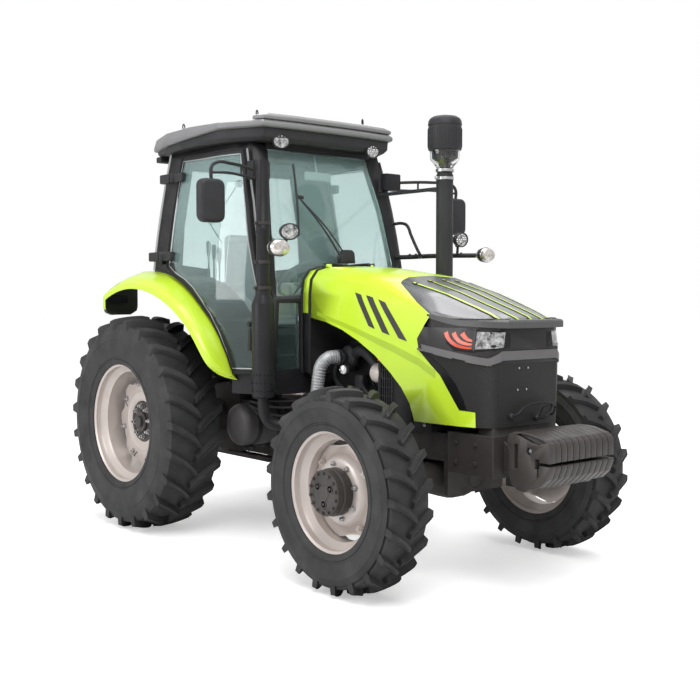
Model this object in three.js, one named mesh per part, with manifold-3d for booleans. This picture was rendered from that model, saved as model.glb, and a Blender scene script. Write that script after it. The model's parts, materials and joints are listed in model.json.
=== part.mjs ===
// Four-wheel-drive farm tractor with a full cab, built as an assembly of named solids.
// Millimetres, +Z up. The nose points along -Y, the tractor's left side is +X.
// The origin is on the ground under the middle of the machine.
import * as THREE from 'three';
import { mergeVertices } from 'three/addons/utils/BufferGeometryUtils.js';
import Module from 'manifold-3d';

const wasm = await Module();
wasm.setup();

// ---------------------------------------------------------------- driving sizes
const seat = 0.3; // gap left between two pieces that touch
const runGap = 6; // gap kept by a moving panel
const wheelbase = 2250;
const frontAxleY = -wheelbase / 2;
const rearAxleY = wheelbase / 2;

const rearWheel = { hub: 715, radius: 742, section: 429, rimRadius: 427, rimWidth: 385, face: 1010, dish: 150, hubRadius: 118 };
const frontWheel = { hub: 540, radius: 567, section: 300, rimRadius: 350, rimWidth: 262, face: 970, dish: 55, hubRadius: 118 };
const frontHubCapReach = 20; // how far the planetary cap stands past the rim flange

const kingpin = { x: 690, radius: 92, top: 650, bottom: 430, pinRadius: 34 };
const steerArm = 225;
const steerRod = { radius: 14, z: 500, eye: 22, end: 627 };
const beamRadius = 72;
const trunnion = { radius: 58, reach: 185 };

const rail = { inner: 172, outer: 232, bottom: 655, top: 820 };
const bolster = { halfWidth: 300, front: -1715, back: -1370, bottom: 615, top: 845 };
const weights = { halfWidth: 272, front: -2078, back: -1790 };
const engine = { halfWidth: 171.7, front: -790, back: -205, bottom: 520, top: 1240, headHalf: 136 };
const radiator = { halfWidth: 300, front: -1230, back: -815, bottom: 820.3, top: 1400 };

const gearbox = { halfWidth: 168, front: -204.7, back: 850, bottom: 480, top: 850 };
const axleCase = { halfWidth: 190, back: 1330, bottom: 470, top: 960 };
const trumpetRadius = 92;

const floorLevel = 970;
const floorThick = 30;
const platform = { level: 1180, front: 420 };
const cabRear = 1090;
const cabTop = 2600;
const glassThick = 6;
const doorThick = 25;
const doorRing = 26; // width of the frame round a door's glass
const postDepth = 36;

const hood = { rear: -172, front: -1752, hingeY: -167, hingeZ: 1806, wall: 9 };
const hoodFoot = 885;
const cowl = { front: -162, back: -74.8 };
const doorGap = 22; // between a fender's inner edge and the door above it
const rearHinge = { y: 1112, z: 2546 };
const wheelCentre = new THREE.Vector3(0, 330, 1715);
const columnWay = new THREE.Vector3(0, 0.64, 0.77).normalize();
const rearHubBack = 835.4;

const liftShaft = { y: 1210, z: 1050, radius: 28, inner: 232, outer: 262 };
const liftEnd = { y: 1490, z: 1010 };
const rodFoot = { y: 1600, z: 512 };
const lowerPivot = { inner: 250, y: 1300, z: 520 };
const linkEnd = { y: 2044, z: 500 };
const topPivot = { y: 1365, z: 830 };
const tank = { x0: -600, x1: -230, y: 310, z: 745, radius: 140 };

const exhaust = { x: -680, y: -134, pipe: 41, muffler: 72, top: 2440, neck: 1610, shoulder: 1550, bottom: 965 };
const intake = { x: 470, y: -575, radius: 56, top: 2410, bottom: 1330 };

// ---------------------------------------------------------------- geometry helpers
const pt = (x, y, z) => new THREE.Vector3(x, y, z);

function solid(geometry) {
  const merged = mergeVertices(positionsOnly(geometry), 1e-3);
  return new wasm.Manifold(new wasm.Mesh({
    numProp: 3,
    vertProperties: new Float32Array(merged.attributes.position.array),
    triVerts: new Uint32Array(merged.index.array),
  }));
}

function geometryOf(body) {
  const mesh = body.getMesh();
  const geometry = new THREE.BufferGeometry();
  geometry.setAttribute('position', new THREE.BufferAttribute(new Float32Array(mesh.vertProperties), 3));
  geometry.setIndex(new THREE.BufferAttribute(new Uint32Array(mesh.triVerts), 1));
  return geometry;
}

const join = (...pieces) => geometryOf(pieces.map(solid).reduce((sum, next) => sum.add(next)));
const cut = (base, ...tools) => geometryOf(tools.map(solid).reduce((left, tool) => left.subtract(tool), solid(base)));
const common = (a, b) => geometryOf(solid(a).intersect(solid(b)));

function flip(geometry) {
  const index = geometry.index.array;
  for (let i = 0; i < index.length; i += 3) {
    [index[i + 1], index[i + 2]] = [index[i + 2], index[i + 1]];
  }
  return geometry;
}

function mirrored(geometry) {
  return flip(mergeVertices(positionsOnly(geometry), 1e-3).scale(-1, 1, 1));
}

function outward(geometry) {
  const merged = mergeVertices(positionsOnly(geometry), 1e-3);
  return solid(merged).volume() < 0 ? flip(merged) : merged;
}

function positionsOnly(geometry) {
  const bare = geometry.clone();
  for (const name of Object.keys(bare.attributes)) {
    if (name !== 'position') bare.deleteAttribute(name);
  }
  return bare;
}

function box(x0, x1, y0, y1, z0, z1) {
  return new THREE.BoxGeometry(x1 - x0, y1 - y0, z1 - z0)
    .translate((x0 + x1) / 2, (y0 + y1) / 2, (z0 + z1) / 2);
}

// a shape whose outline runs anticlockwise and whose hole runs clockwise
function shapeOf(points, hole) {
  const loop = (list, clockwise) => {
    const flat = list.map(([u, v]) => new THREE.Vector2(u, v));
    return THREE.ShapeUtils.isClockWise(flat) === clockwise ? flat : flat.reverse();
  };
  const shape = new THREE.Shape(loop(points, false));
  if (hole) shape.holes.push(new THREE.Path(loop(hole, true)));
  return shape;
}

// an outline in Y and Z, extruded along X
function sideSlab(points, x0, x1, hole) {
  return new THREE.ExtrudeGeometry(shapeOf(points, hole), { depth: x1 - x0, bevelEnabled: false })
    .applyMatrix4(new THREE.Matrix4().makeBasis(pt(0, 1, 0), pt(0, 0, 1), pt(1, 0, 0)))
    .translate(x0, 0, 0);
}

// an outline in X and Z, extruded along Y
function frontSlab(points, y0, y1, hole) {
  return new THREE.ExtrudeGeometry(shapeOf(points, hole), { depth: y1 - y0, bevelEnabled: false })
    .rotateX(Math.PI / 2).translate(0, y1, 0);
}

// an outline in X and Y, extruded along Z
function planSlab(points, z0, z1) {
  return new THREE.ExtrudeGeometry(shapeOf(points), { depth: z1 - z0, bevelEnabled: false })
    .translate(0, 0, z0);
}

function rod(a, b, radius, sides = 16, endRadius = radius) {
  const along = new THREE.Vector3().subVectors(b, a);
  const turn = new THREE.Quaternion().setFromUnitVectors(pt(0, 1, 0), along.clone().normalize());
  return new THREE.CylinderGeometry(endRadius, radius, along.length(), sides)
    .applyQuaternion(turn)
    .translate((a.x + b.x) / 2, (a.y + b.y) / 2, (a.z + b.z) / 2);
}

function tube(points, radius, sides = 8, steps = 24) {
  const ring = new THREE.Shape().absarc(0, 0, radius, 0, Math.PI * 2);
  const outline = new THREE.Shape(ring.getPoints(sides).slice(0, sides));
  const path = new THREE.CatmullRomCurve3(points, false, 'catmullrom', 0.4);
  return new THREE.ExtrudeGeometry(outline, { extrudePath: path, steps, bevelEnabled: false });
}

// a profile of [radius, x] points turned about the X axis; it closes on itself
function turned(profile, sides) {
  const closed = [...profile, profile[0]].map(([r, x]) => new THREE.Vector2(r, x));
  return outward(new THREE.LatheGeometry(closed, sides).rotateZ(-Math.PI / 2));
}

// rings of points with the same count, skinned and capped
function loft(rings) {
  const count = rings[0].length;
  const vertices = rings.flat().flatMap((p) => [p.x, p.y, p.z]);
  const faces = [];
  for (let i = 0; i < rings.length - 1; i += 1) {
    for (let j = 0; j < count; j += 1) {
      const a = i * count + j;
      const b = i * count + ((j + 1) % count);
      faces.push(a, b, b + count, a, b + count, a + count);
    }
  }
  faces.push(...cap(rings[0]).flatMap(([a, b, c]) => [a, c, b]));
  const last = (rings.length - 1) * count;
  faces.push(...cap(rings.at(-1)).flatMap(([a, b, c]) => [a + last, b + last, c + last]));
  const geometry = new THREE.BufferGeometry();
  geometry.setAttribute('position', new THREE.Float32BufferAttribute(vertices, 3));
  geometry.setIndex(faces);
  return outward(geometry);
}

// triangles of a ring, wound the way the ring runs, found in the plane that it faces most
function cap(ring) {
  const normal = pt(0, 0, 0);
  ring.forEach((p, i) => normal.add(new THREE.Vector3().crossVectors(p, ring[(i + 1) % ring.length])));
  const drop = ['x', 'y', 'z'].reduce((best, k) => (Math.abs(normal[k]) > Math.abs(normal[best]) ? k : best), 'x');
  const [u, v] = { x: ['y', 'z'], y: ['z', 'x'], z: ['x', 'y'] }[drop];
  const flat = ring.map((p) => new THREE.Vector2(p[u], p[v]));
  const faces = THREE.ShapeUtils.triangulateShape(flat, []);
  const areaOf = (loop) => THREE.ShapeUtils.area(loop);
  const total = faces.reduce((sum, face) => sum + areaOf(face.map((i) => flat[i])), 0);
  return total * areaOf(flat) < 0 ? faces.map(([i, j, k]) => [i, k, j]) : faces;
}

function bend(geometry, change) {
  const place = geometry.attributes.position;
  const p = pt(0, 0, 0);
  for (let i = 0; i < place.count; i += 1) {
    p.fromBufferAttribute(place, i);
    change(p);
    place.setXYZ(i, p.x, p.y, p.z);
  }
  return geometry;
}

function mix(table, at) {
  const last = table.length - 1;
  if (at <= table[0][0]) return table[0][1];
  for (let i = 0; i < last; i += 1) {
    const [a, va] = table[i];
    const [b, vb] = table[i + 1];
    if (at <= b) return va + ((vb - va) * (at - a)) / (b - a);
  }
  return table[last][1];
}

// an outline with every corner moved inwards by a distance (outwards when it is negative)
function inset(points, distance) {
  const flat = points.map(([a, b]) => new THREE.Vector2(a, b));
  const turn = THREE.ShapeUtils.isClockWise(flat) ? -1 : 1;
  return flat.map((p, i) => {
    const before = p.clone().sub(flat.at(i - 1)).normalize();
    const after = flat[(i + 1) % flat.length].clone().sub(p).normalize();
    const inward = new THREE.Vector2(-before.y - after.y, before.x + after.x).normalize();
    const reach = distance / Math.max(0.3, inward.dot(new THREE.Vector2(-before.y, before.x)));
    return [p.x + inward.x * turn * reach, p.y + inward.y * turn * reach];
  });
}

const bothSides = (points) => [...points, ...points.map(([a, b]) => [-a, b]).reverse()];

// ---------------------------------------------------------------- shared surfaces
// half-width of the windscreen and how far back it leans, both by height
const screenHalf = [[970, 558], [1600, 531], [1800, 514], [2000, 503], [2200, 482], [2400, 448], [2600, 418]];
const screenY = [[970, -72], [1600, -68], [1800, -26], [2000, 21], [2200, 66], [2400, 124], [2600, 185]];
const postLevels = [970, 1600, 1800, 2000, 2200, 2400, 2560, 2600];

// outer skin of the cab's side: bowed in plan and leaning in above the belt line
function sideX(y, z) {
  const bow = Math.min(1, Math.max(0, (y + 30) / 500));
  const lean = z > 1700 ? 150 * ((z - 1700) / 900) ** 1.4 : 0;
  return 600 + 180 * Math.sin((Math.PI / 2) * bow) - lean;
}

// the fender's arc round the rear axle: radius of its inner edge and outer lip by angle
const arcInner = [[18, 1004], [22, 1010], [32, 1034], [42, 1060], [90, 1060], [100, 1072], [112, 1112]];
const arcOuter = [[18, 1020], [25, 1047], [32, 1064], [42, 1066], [50, 1044], [61, 1016], [73, 996],
  [84, 986], [98, 978], [112, 972]];
const lipX = [[18, 745], [25, 860], [30, 898], [40, 925], [50, 932], [112, 932]];

function arcPoint(degrees, radius) {
  const turn = THREE.MathUtils.degToRad(degrees);
  return [rearAxleY - radius * Math.cos(turn), rearWheel.hub + radius * Math.sin(turn)];
}

const arcLine = (from, to, count, offset) => Array.from({ length: count }, (_, i) => {
  const angle = from + ((to - from) * i) / (count - 1);
  return arcPoint(angle, mix(arcInner, angle) + offset);
});

// ---------------------------------------------------------------- wheels
function rim(size, hubBack, hubFront, sides) {
  const half = size.rimWidth / 2;
  const bead = size.rimRadius - 22;
  const well = size.rimRadius - 66;
  const wall = 9;
  const barrel = turned([
    [size.rimRadius, half], [bead, half - 10], [bead, half - 50], [well, half - 84],
    [well, 84 - half], [bead, 50 - half], [bead, 10 - half], [size.rimRadius, -half],
    [bead - wall, -half], [well - wall, 88 - half], [well - wall, half - 88], [bead - wall, half],
  ], sides);
  const disc = half - size.dish;
  const weld = half - 104;
  const web = turned([
    [0, disc - 8], [size.hubRadius + 40, disc - 8], [well - 60, weld], [well - 4, weld],
    [well - 4, weld + 12], [well - 56, weld + 12], [size.hubRadius + 44, disc + 6], [0, disc + 6],
  ], sides);
  const middle = size.face - half;
  const hub = turned([
    [0, hubBack - middle], [size.hubRadius, hubBack - middle], [size.hubRadius, hubFront - middle - 22],
    [size.hubRadius - 24, hubFront - middle], [0, hubFront - middle],
  ], sides);
  return join(barrel, web, hub);
}

function tyre(size, sides) {
  const half = size.rimWidth / 2 - 10 - seat;
  const bead = size.rimRadius - 22 + seat;
  const side = size.section / 2;
  const tread = side - 18;
  const wall = [
    [bead, half], [size.rimRadius + 12, half], [(size.rimRadius + size.radius) / 2 + 8, side],
    [size.radius - 72, side - 4], [size.radius - 26, tread], [size.radius, tread - 90],
  ];
  return turned([...wall, ...wall.map(([r, x]) => [r, -x]).reverse()], sides);
}

function wheelAt(side, size, axleY) {
  return pt(side * (size.face - size.rimWidth / 2), axleY, size.hub);
}

// ---------------------------------------------------------------- front axle
function frontAxle() {
  const z = frontWheel.hub;
  const webX = kingpin.x - kingpin.radius - 8;
  const beam = turned([
    [0, -webX + 20], [beamRadius, -webX + 20], [beamRadius + 6, -260], [118, -130], [140, -50], [140, 50],
    [118, 130], [beamRadius + 6, 260], [beamRadius, webX - 20], [0, webX - 20],
  ], 20).translate(0, frontAxleY, z);
  const pivot = rod(
    pt(0, frontAxleY - trunnion.reach, z), pt(0, frontAxleY + trunnion.reach, z), trunnion.radius, 20,
  );
  const ends = [-1, 1].flatMap((side) => {
    const web = box(webX - 46, webX, -66, 66, kingpin.bottom - 34, kingpin.top + 34);
    const arms = [[kingpin.top + 5, kingpin.top + 34], [kingpin.bottom - 34, kingpin.bottom - 5]].map(
      ([low, high]) => box(webX - 6, kingpin.x + 60, -56, 56, low, high),
    );
    const pins = [[kingpin.top + 0.4, kingpin.top + 20], [kingpin.bottom - 20, kingpin.bottom - 0.4]].map(
      ([low, high]) => rod(pt(kingpin.x, 0, low), pt(kingpin.x, 0, high), kingpin.pinRadius),
    );
    return [web, ...arms, ...pins].map((g) => (side < 0 ? mirrored(g) : g).translate(0, frontAxleY, 0));
  });
  const cylinderY = frontAxleY + steerArm;
  const cylinder = rod(pt(-300, cylinderY, steerRod.z), pt(300, cylinderY, steerRod.z), 30);
  const brackets = [-275, 275].map((x) => box(
    x - 15, x + 15, frontAxleY + 20, cylinderY, steerRod.z - 24, steerRod.z + 24,
  ));
  const bore = rod(pt(-400, cylinderY, steerRod.z), pt(400, cylinderY, steerRod.z), steerRod.radius + 0.4);
  return cut(join(beam, pivot, ...ends, cylinder, ...brackets), bore);
}

function steeringRod() {
  const y = frontAxleY + steerArm;
  const bar = rod(pt(-steerRod.end, y, steerRod.z), pt(steerRod.end, y, steerRod.z), steerRod.radius);
  const eyes = [-1, 1].map((side) => rod(
    pt(side * steerRod.end, y, steerRod.z - 16), pt(side * steerRod.end, y, steerRod.z + 16), steerRod.eye - 2,
  ));
  return join(bar, ...eyes);
}

function knuckle() {
  const z = frontWheel.hub;
  const barrel = rod(pt(kingpin.x, 0, kingpin.bottom), pt(kingpin.x, 0, kingpin.top), kingpin.radius, 20);
  const hub = rod(pt(kingpin.x, 0, z), pt(905, 0, z), 104, 20);
  const arm = box(kingpin.x - 15, kingpin.x + 15, 0, steerArm, steerRod.z - 14, steerRod.z + 14);
  const eye = rod(
    pt(kingpin.x, steerArm, steerRod.z - 16), pt(kingpin.x, steerArm, steerRod.z + 16), steerRod.eye,
  );
  return join(barrel, hub, arm, eye).translate(0, frontAxleY, 0);
}

// ---------------------------------------------------------------- frame and driveline
function frontFrame() {
  const rails = [-1, 1].map((side) => box(
    Math.min(side * rail.inner, side * rail.outer), Math.max(side * rail.inner, side * rail.outer),
    bolster.front + 40, engine.back, rail.bottom, rail.top,
  ));
  const block = box(
    -bolster.halfWidth, bolster.halfWidth, bolster.front, bolster.back, bolster.bottom, bolster.top,
  );
  const rest = box(-262, 262, -1685, -1570, bolster.top - 5, hoodFoot - seat);
  const z = frontWheel.hub;
  const carriers = [-1, 1].map((way) => {
    const near = frontAxleY + way * (trunnion.reach - 35);
    const far = frontAxleY + way * trunnion.reach;
    return box(-rail.outer, rail.outer, Math.min(near, far), Math.max(near, far), z - 80, rail.bottom + 20);
  });
  const bore = rod(pt(0, frontAxleY - 400, z), pt(0, frontAxleY + 400, z), trunnion.radius + seat, 20);
  return cut(join(...rails, block, rest, ...carriers), bore);
}

function frontWeights() {
  const { front, back, halfWidth } = weights;
  return sideSlab([
    [back, 830], [back, 640], [back - 35, 588], [back - 125, 570], [front + 92, 600], [front + 20, 655],
    [front, 705], [front + 95, 705], [front + 95, 724], [front + 2, 724], [front + 6, 838],
    [front + 30, 862], [front + 120, 884], [back - 60, 884],
  ], -halfWidth, halfWidth);
}

function weightCarrier() {
  const near = bolster.front - seat;
  const far = weights.back + seat;
  return planSlab([[-200, near], [200, near], [110, far], [-110, far]], 655, 795);
}

function engineBlock() {
  const { halfWidth, front, back, bottom, top, headHalf } = engine;
  const sump = sideSlab([[front + 60, 440], [back - 140, 440], [back - 90, bottom + 10], [front, bottom + 10]],
    -130, 130);
  const crankcase = box(-halfWidth, halfWidth, front, back, bottom, 850);
  const head = box(-headHalf, headHalf, front + 30, back - 10, 840, top);
  const cover = box(-82, 82, front + 60, back - 60, top - 10, top + 70);
  return join(sump, crankcase, head, cover);
}

function radiatorPack() {
  const { halfWidth, front, back, bottom, top } = radiator;
  return sideSlab([[front, bottom], [back, bottom], [back, top - 150], [back - 130, top], [front, top]],
    -halfWidth, halfWidth);
}

// gearbox, rear axle case and the hitch's fixed pivots, one casting bolted up
function rearHousing() {
  const z = rearWheel.hub;
  const { halfWidth, front, back, bottom, top } = gearbox;
  const flange = box(-238, 238, front, front + 38, bottom - 10, 900);
  const clutchCase = box(-halfWidth, halfWidth, front, back + 20, bottom, top);
  const axleBox = box(-axleCase.halfWidth, axleCase.halfWidth, back, axleCase.back, axleCase.bottom, axleCase.top);
  const reach = rearHubBack - 0.4;
  const axleTube = turned([
    [0, -reach], [128, -reach], [128, 26 - reach], [trumpetRadius, 70 - reach], [trumpetRadius + 34, -190],
    [trumpetRadius + 34, 190], [trumpetRadius, reach - 70], [128, reach - 26], [128, reach], [0, reach],
  ], 20).translate(0, rearAxleY, z);
  const pads = [-1, 1].flatMap((side) => [[-20, 70, top - 10, floorLevel - seat],
    [905, 1005, axleCase.top - 10, platform.level - floorThick - seat]].map(([y0, y1, z0, z1]) => box(
    side * 140 - 28, side * 140 + 28, y0, y1, z0, z1,
  )));
  const liftBox = box(-226, 226, 1130, 1290, axleCase.top - 10, liftShaft.z + 50);
  const lugs = rod(pt(-lowerPivot.inner, lowerPivot.y, lowerPivot.z),
    pt(lowerPivot.inner, lowerPivot.y, lowerPivot.z), 30);
  const topLugs = [-1, 1].map((side) => box(
    Math.min(side * 21, side * 35), Math.max(side * 21, side * 35),
    axleCase.back - 10, axleCase.back + 62, topPivot.z - 34, topPivot.z + 34,
  ));
  const guard = box(-92, 92, axleCase.back - 10, axleCase.back + 110, 690, 700);
  const bore = rod(
    pt(-400, liftShaft.y, liftShaft.z), pt(400, liftShaft.y, liftShaft.z), liftShaft.radius + 0.5, 32,
  );
  return cut(join(flange, clutchCase, axleBox, axleTube, ...pads, liftBox, lugs, ...topLugs, guard), bore);
}

// ---------------------------------------------------------------- rear hitch
function liftArms() {
  const { y, z, radius, inner, outer } = liftShaft;
  const shaft = rod(pt(-outer, y, z), pt(outer, y, z), radius);
  const arms = [-1, 1].map((side) => sideSlab([
    [y - 52, z + 8], [y - 20, z - 52], [liftEnd.y + 20, liftEnd.z - 30], [liftEnd.y + 34, liftEnd.z],
    [liftEnd.y + 14, liftEnd.z + 30], [y + 10, z + 54],
  ], Math.min(side * inner, side * outer), Math.max(side * inner, side * outer)));
  return join(shaft, ...arms);
}

function liftRod() {
  const x = liftShaft.outer + 0.4;
  const foot = pt(x + 11, rodFoot.y, rodFoot.z);
  const head = pt(x + 11, liftEnd.y, liftEnd.z);
  const bar = rod(foot, head, 10, 10);
  const eyes = [foot, head].map((p) => rod(pt(x, p.y, p.z), pt(x + 22, p.y, p.z), 25));
  return join(bar, ...eyes);
}

function lowerLink() {
  const { inner, y, z } = lowerPivot;
  const frontEye = rod(pt(inner + 0.4, y, z), pt(inner + 30, y, z), 32);
  const rearX = 392;
  const bar = loft([[inner + 15, y, z, 30], [318, 1620, z - 8, 36], [rearX, linkEnd.y, linkEnd.z, 28]].map(
    ([x, py, pz, deep]) => [pt(x - 13, py, pz - deep), pt(x + 13, py, pz - deep),
      pt(x + 13, py, pz + deep), pt(x - 13, py, pz + deep)],
  ));
  const rearEye = rod(pt(rearX - 19, linkEnd.y, linkEnd.z), pt(rearX + 19, linkEnd.y, linkEnd.z), 34);
  return join(frontEye, bar, rearEye);
}

function topLink() {
  const { y, z } = topPivot;
  const end = pt(0, y + 520, z + 130);
  const bar = rod(pt(0, y, z), end, 15, 12);
  const sleeve = rod(pt(0, y + 120, z + 30), pt(0, y + 380, z + 95), 24, 12);
  const eyes = [pt(0, y, z), end].map((p) => rod(pt(-20.6, p.y, p.z), pt(20.6, p.y, p.z), 28));
  return join(bar, sleeve, ...eyes);
}

function drawbar() {
  const hanger = box(-84, 84, 1150, axleCase.back, 424, axleCase.bottom - seat);
  const bar = box(-38, 38, 700, 1765, 392, 426);
  const hole = rod(pt(0, 1715, 300), pt(0, 1715, 500), 16);
  return cut(join(hanger, bar), hole);
}

function ptoShaft() {
  const y = axleCase.back + 0.4;
  return join(
    rod(pt(0, y, 620), pt(0, y + 16, 620), 44, 18),
    rod(pt(0, y, 620), pt(0, y + 96, 620), 17.5, 12),
  );
}

// ---------------------------------------------------------------- cab
const aperture = () => {
  const lower = arcLine(22, 71, 8, doorGap);
  return [
    [yFront(1105) + 45, 1105], ...postLevels.slice(1, 6).map((z) => [yFront(z) + 47, z]),
    [yFront(2555) + 47, 2555], [870, 2555], [870, 1800], [lower.at(-1)[0] + 40, 1800],
    ...lower.reverse(),
  ];
};

function yFront(z) {
  return mix(screenY, z) - 4;
}

// a sheet that follows the cab's side between two depths below its outer skin
function sideSkin(near, far) {
  const heights = [900, 1700, 1810, 1960, 2140, 2340, 2560, 2640];
  return loft([-160, -30, 30, 95, 160, 225, 300, 380, 470, 1160].map((y) => [
    ...heights.map((z) => pt(sideX(y, z) - near, y, z)),
    ...heights.map((z) => pt(sideX(y, z) - far, y, z)).reverse(),
  ]));
}

const sidePlate = (near, far, outline, hole) => common(sideSkin(near, far), sideSlab(outline, 200, 1000, hole));

const frameFace = doorThick + runGap; // how far the cab frame's face lies below the doors' outer skin

function sideFrame() {
  const shelf = arcLine(20, 88, 9, -24);
  const outline = [
    ...postLevels.map((z) => [yFront(z), z]), [cabRear, cabTop], ...shelf.reverse(), [204, floorLevel],
  ];
  return sidePlate(frameFace, frameFace + postDepth, outline, inset(aperture(), 20));
}

function frontPost() {
  return loft(postLevels.map((z) => {
    const y = yFront(z);
    const inner = mix(screenHalf, z);
    const outer = sideX(y + 30, z) - frameFace - 2;
    return [pt(inner, y, z), pt(outer, y, z), pt(outer, y + 62, z), pt(inner, y + 62, z)];
  }));
}

function cabFrame() {
  const half = [sideFrame(), frontPost(), wheelHousing(), housingWall()];
  const frontWallHoles = [-1, 1].map((side) => frontSlab(
    quarterPane.map(([x, z]) => [side * x, z]), -120, 0,
  ));
  const frontWall = box(-562, 562, yFront(1200), yFront(1200) + 40, floorLevel, 1600);
  const header = box(-440, 440, 150, 236, 2560.3, cabTop);
  const rearFrame = frontSlab(bothSides([
    [392, platform.level - floorThick], [392, 1742], [cabRearHalf(1742), 1742],
    [cabRearHalf(2100), 2100], [cabRearHalf(2400), 2400], [cabRearHalf(cabTop), cabTop],
  ]), cabRear - 40, cabRear, bothSides(rearPane.map(([x, z]) => [x - 24, z + (z < 2000 ? 24 : -24)])));
  const rearRail = box(-540, 540, cabRear - 90, cabRear, cabTop - 50, cabTop);
  const floor = planSlab(bothSides([[560, yFront(1000)], [585, 0], [610, 80], [628, 200]]),
    floorLevel, floorLevel + floorThick);
  const tunnel = box(-380, 380, 190, platform.front + 20, floorLevel, floorLevel + floorThick);
  const riser = box(-380, 380, platform.front, platform.front + 25, floorLevel, platform.level);
  const deck = box(-380, 380, platform.front, cabRear - 5, platform.level - floorThick, platform.level);
  const lampArms = [-1, 1].map((side) => tube([
    pt(side * 548, 10, 1872), pt(side * 584, -110, 1872), pt(side * 650, -290, 1876),
    pt(side * 852, -520, 1878),
  ], 14, 8, 10));
  return cut(
    join(...half, ...half.map(mirrored), frontWall, header, rearFrame, rearRail, floor, tunnel, riser,
      deck, ...lampArms, ...hingeLugs(), ...hingeLugs().map(mirrored)),
    ...frontWallHoles,
  );
}

const cabRearHalf = (z) => sideX(cabRear, z) - frameFace - 4;

// the curved shelf over each rear tyre, inside the cab
function wheelHousing() {
  const upper = arcLine(20, 88, 9, -22);
  const lower = arcLine(20, 88, 9, -44).reverse();
  const plate = sideSlab([...upper, ...lower], 372, 700);
  const inside = planSlab([[360, 100], [632, 100], [640, 200], [676, 300], [690, 400], [700, 520],
    [700, 1200], [360, 1200]], 900, 2000);
  return common(plate, inside);
}

function housingWall() {
  return sideSlab([[204, floorLevel], [cabRear - 5, floorLevel + 180], [cabRear - 5, 1740],
    ...arcLine(20, 86, 9, -34).reverse()], 372, 392);
}

// hinge axis of a side door: it leans in with the cab's side
const hingeAt = (z) => pt(793 - (98 * (z - 1850)) / 570, 905, z);
const hingeHeights = [1850, 2420];

function hingeLugs() {
  return hingeHeights.map((z) => {
    const face = sideX(905, z) - frameFace - 12;
    const barrel = rod(hingeAt(z - 34), hingeAt(z - 0.2), 13, 12);
    const tongue = box(face, hingeAt(z).x + 2, 897, 913, z - 32, z - 4);
    return join(barrel, tongue);
  });
}

function door() {
  const leaf = sidePlate(0, doorThick, aperture(), inset(aperture(), doorRing));
  const lugs = hingeHeights.map((z) => {
    const face = sideX(870, z);
    const barrel = rod(hingeAt(z + 0.2), hingeAt(z + 34), 13, 12);
    const strap = box(face - 12, hingeAt(z).x + 3, 848, 905, z + 5, z + 31);
    return join(barrel, strap);
  });
  return join(leaf, ...lugs);
}

function doorGlass() {
  return sidePlate(8, 8 + glassThick, inset(aperture(), doorRing + seat));
}

function windscreen() {
  const levels = [1600 + seat, ...postLevels.slice(2, 7)];
  const outline = levels.map((z) => [mix(screenHalf, z) - seat, z]);
  const pane = frontSlab(bothSides(outline), -glassThick, 0);
  return bend(pane, (p) => {
    p.y += mix(screenY, p.z) + 12;
  });
}

const quarterPane = [[352, 1130], [535, 1130], [512, 1556], [352, 1556]];

function quarterGlass() {
  return frontSlab(inset(quarterPane, seat), yFront(1200) + 8, yFront(1200) + 8 + glassThick);
}

// the rear window overlaps its frame by 24 mm; half outline
const rearPane = [[330, 1400], [330, 1770], [560, 1795], [540, 2120], [470, 2520]];

function rearWindow() {
  const pane = frontSlab(bothSides(rearPane), cabRear + runGap, cabRear + runGap + glassThick);
  const lugs = [-330, 330].map((x) => join(
    rod(pt(x - 24, rearHinge.y, rearHinge.z), pt(x - 0.2, rearHinge.y, rearHinge.z), 9, 12),
    box(x - 22, x - 3, cabRear + runGap + 1, rearHinge.y + 4, 2490, rearHinge.z),
  ));
  return join(pane, ...lugs);
}

function rearHingeLugs() {
  return [-330, 330].map((x) => join(
    rod(pt(x + 0.2, rearHinge.y, rearHinge.z), pt(x + 24, rearHinge.y, rearHinge.z), 9, 12),
    box(x + 3, x + 22, cabRear - 8, rearHinge.y, rearHinge.z - 8, rearHinge.z + 8),
  ));
}

function cabRoof() {
  const plan = [[0, 8], [300, 12], [560, 30], [700, 330], [748, 640], [715, 1000], [600, 1335]];
  const full = [...plan, ...plan.slice(1).map(([x, y]) => [-x, y]).reverse()];
  const ring = (inwards, z) => inset(full, inwards).map(([x, y]) => pt(x, y, z));
  const shell = loft([ring(46, cabTop + seat), ring(2, 2646), ring(0, 2700), ring(22, 2728), ring(95, 2752)]);
  const hatch = planSlab([[330, 470], [370, 900], [300, 1180], [-300, 1180], [-370, 900], [-330, 470]], 2740, 2778);
  return join(shell, hatch);
}

function fender() {
  return cut(fenderShell(), sideSkin(frameFace - seat, 400));
}

function fenderShell() {
  const thick = 7;
  const angles = [19.5, 22, 25, 30, 36, 42, 50, 58, 66, 74, 82, 90, 98, 105, 112];
  return loft(angles.map((angle) => {
    const inner = mix(arcInner, angle);
    const outer = mix(arcOuter, angle);
    const lip = mix(lipX, angle);
    const [y, z] = arcPoint(angle, inner);
    const root = sideX(y, z) - frameFace - 10;
    const ridge = root + (lip - root) * 0.62;
    const crown = inner + (outer - inner) * 0.62 + 12;
    const section = [
      [root, inner], [ridge, crown], [lip - 14, outer], [lip, outer - 16], [lip, outer - 48],
      [lip - thick, outer - 48], [lip - thick, outer - 18], [lip - 18, outer - thick],
      [ridge, crown - thick], [root, inner - thick],
    ];
    return section.map(([x, radius]) => {
      const [py, pz] = arcPoint(angle, radius);
      return pt(x, py, pz);
    });
  }));
}

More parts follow.
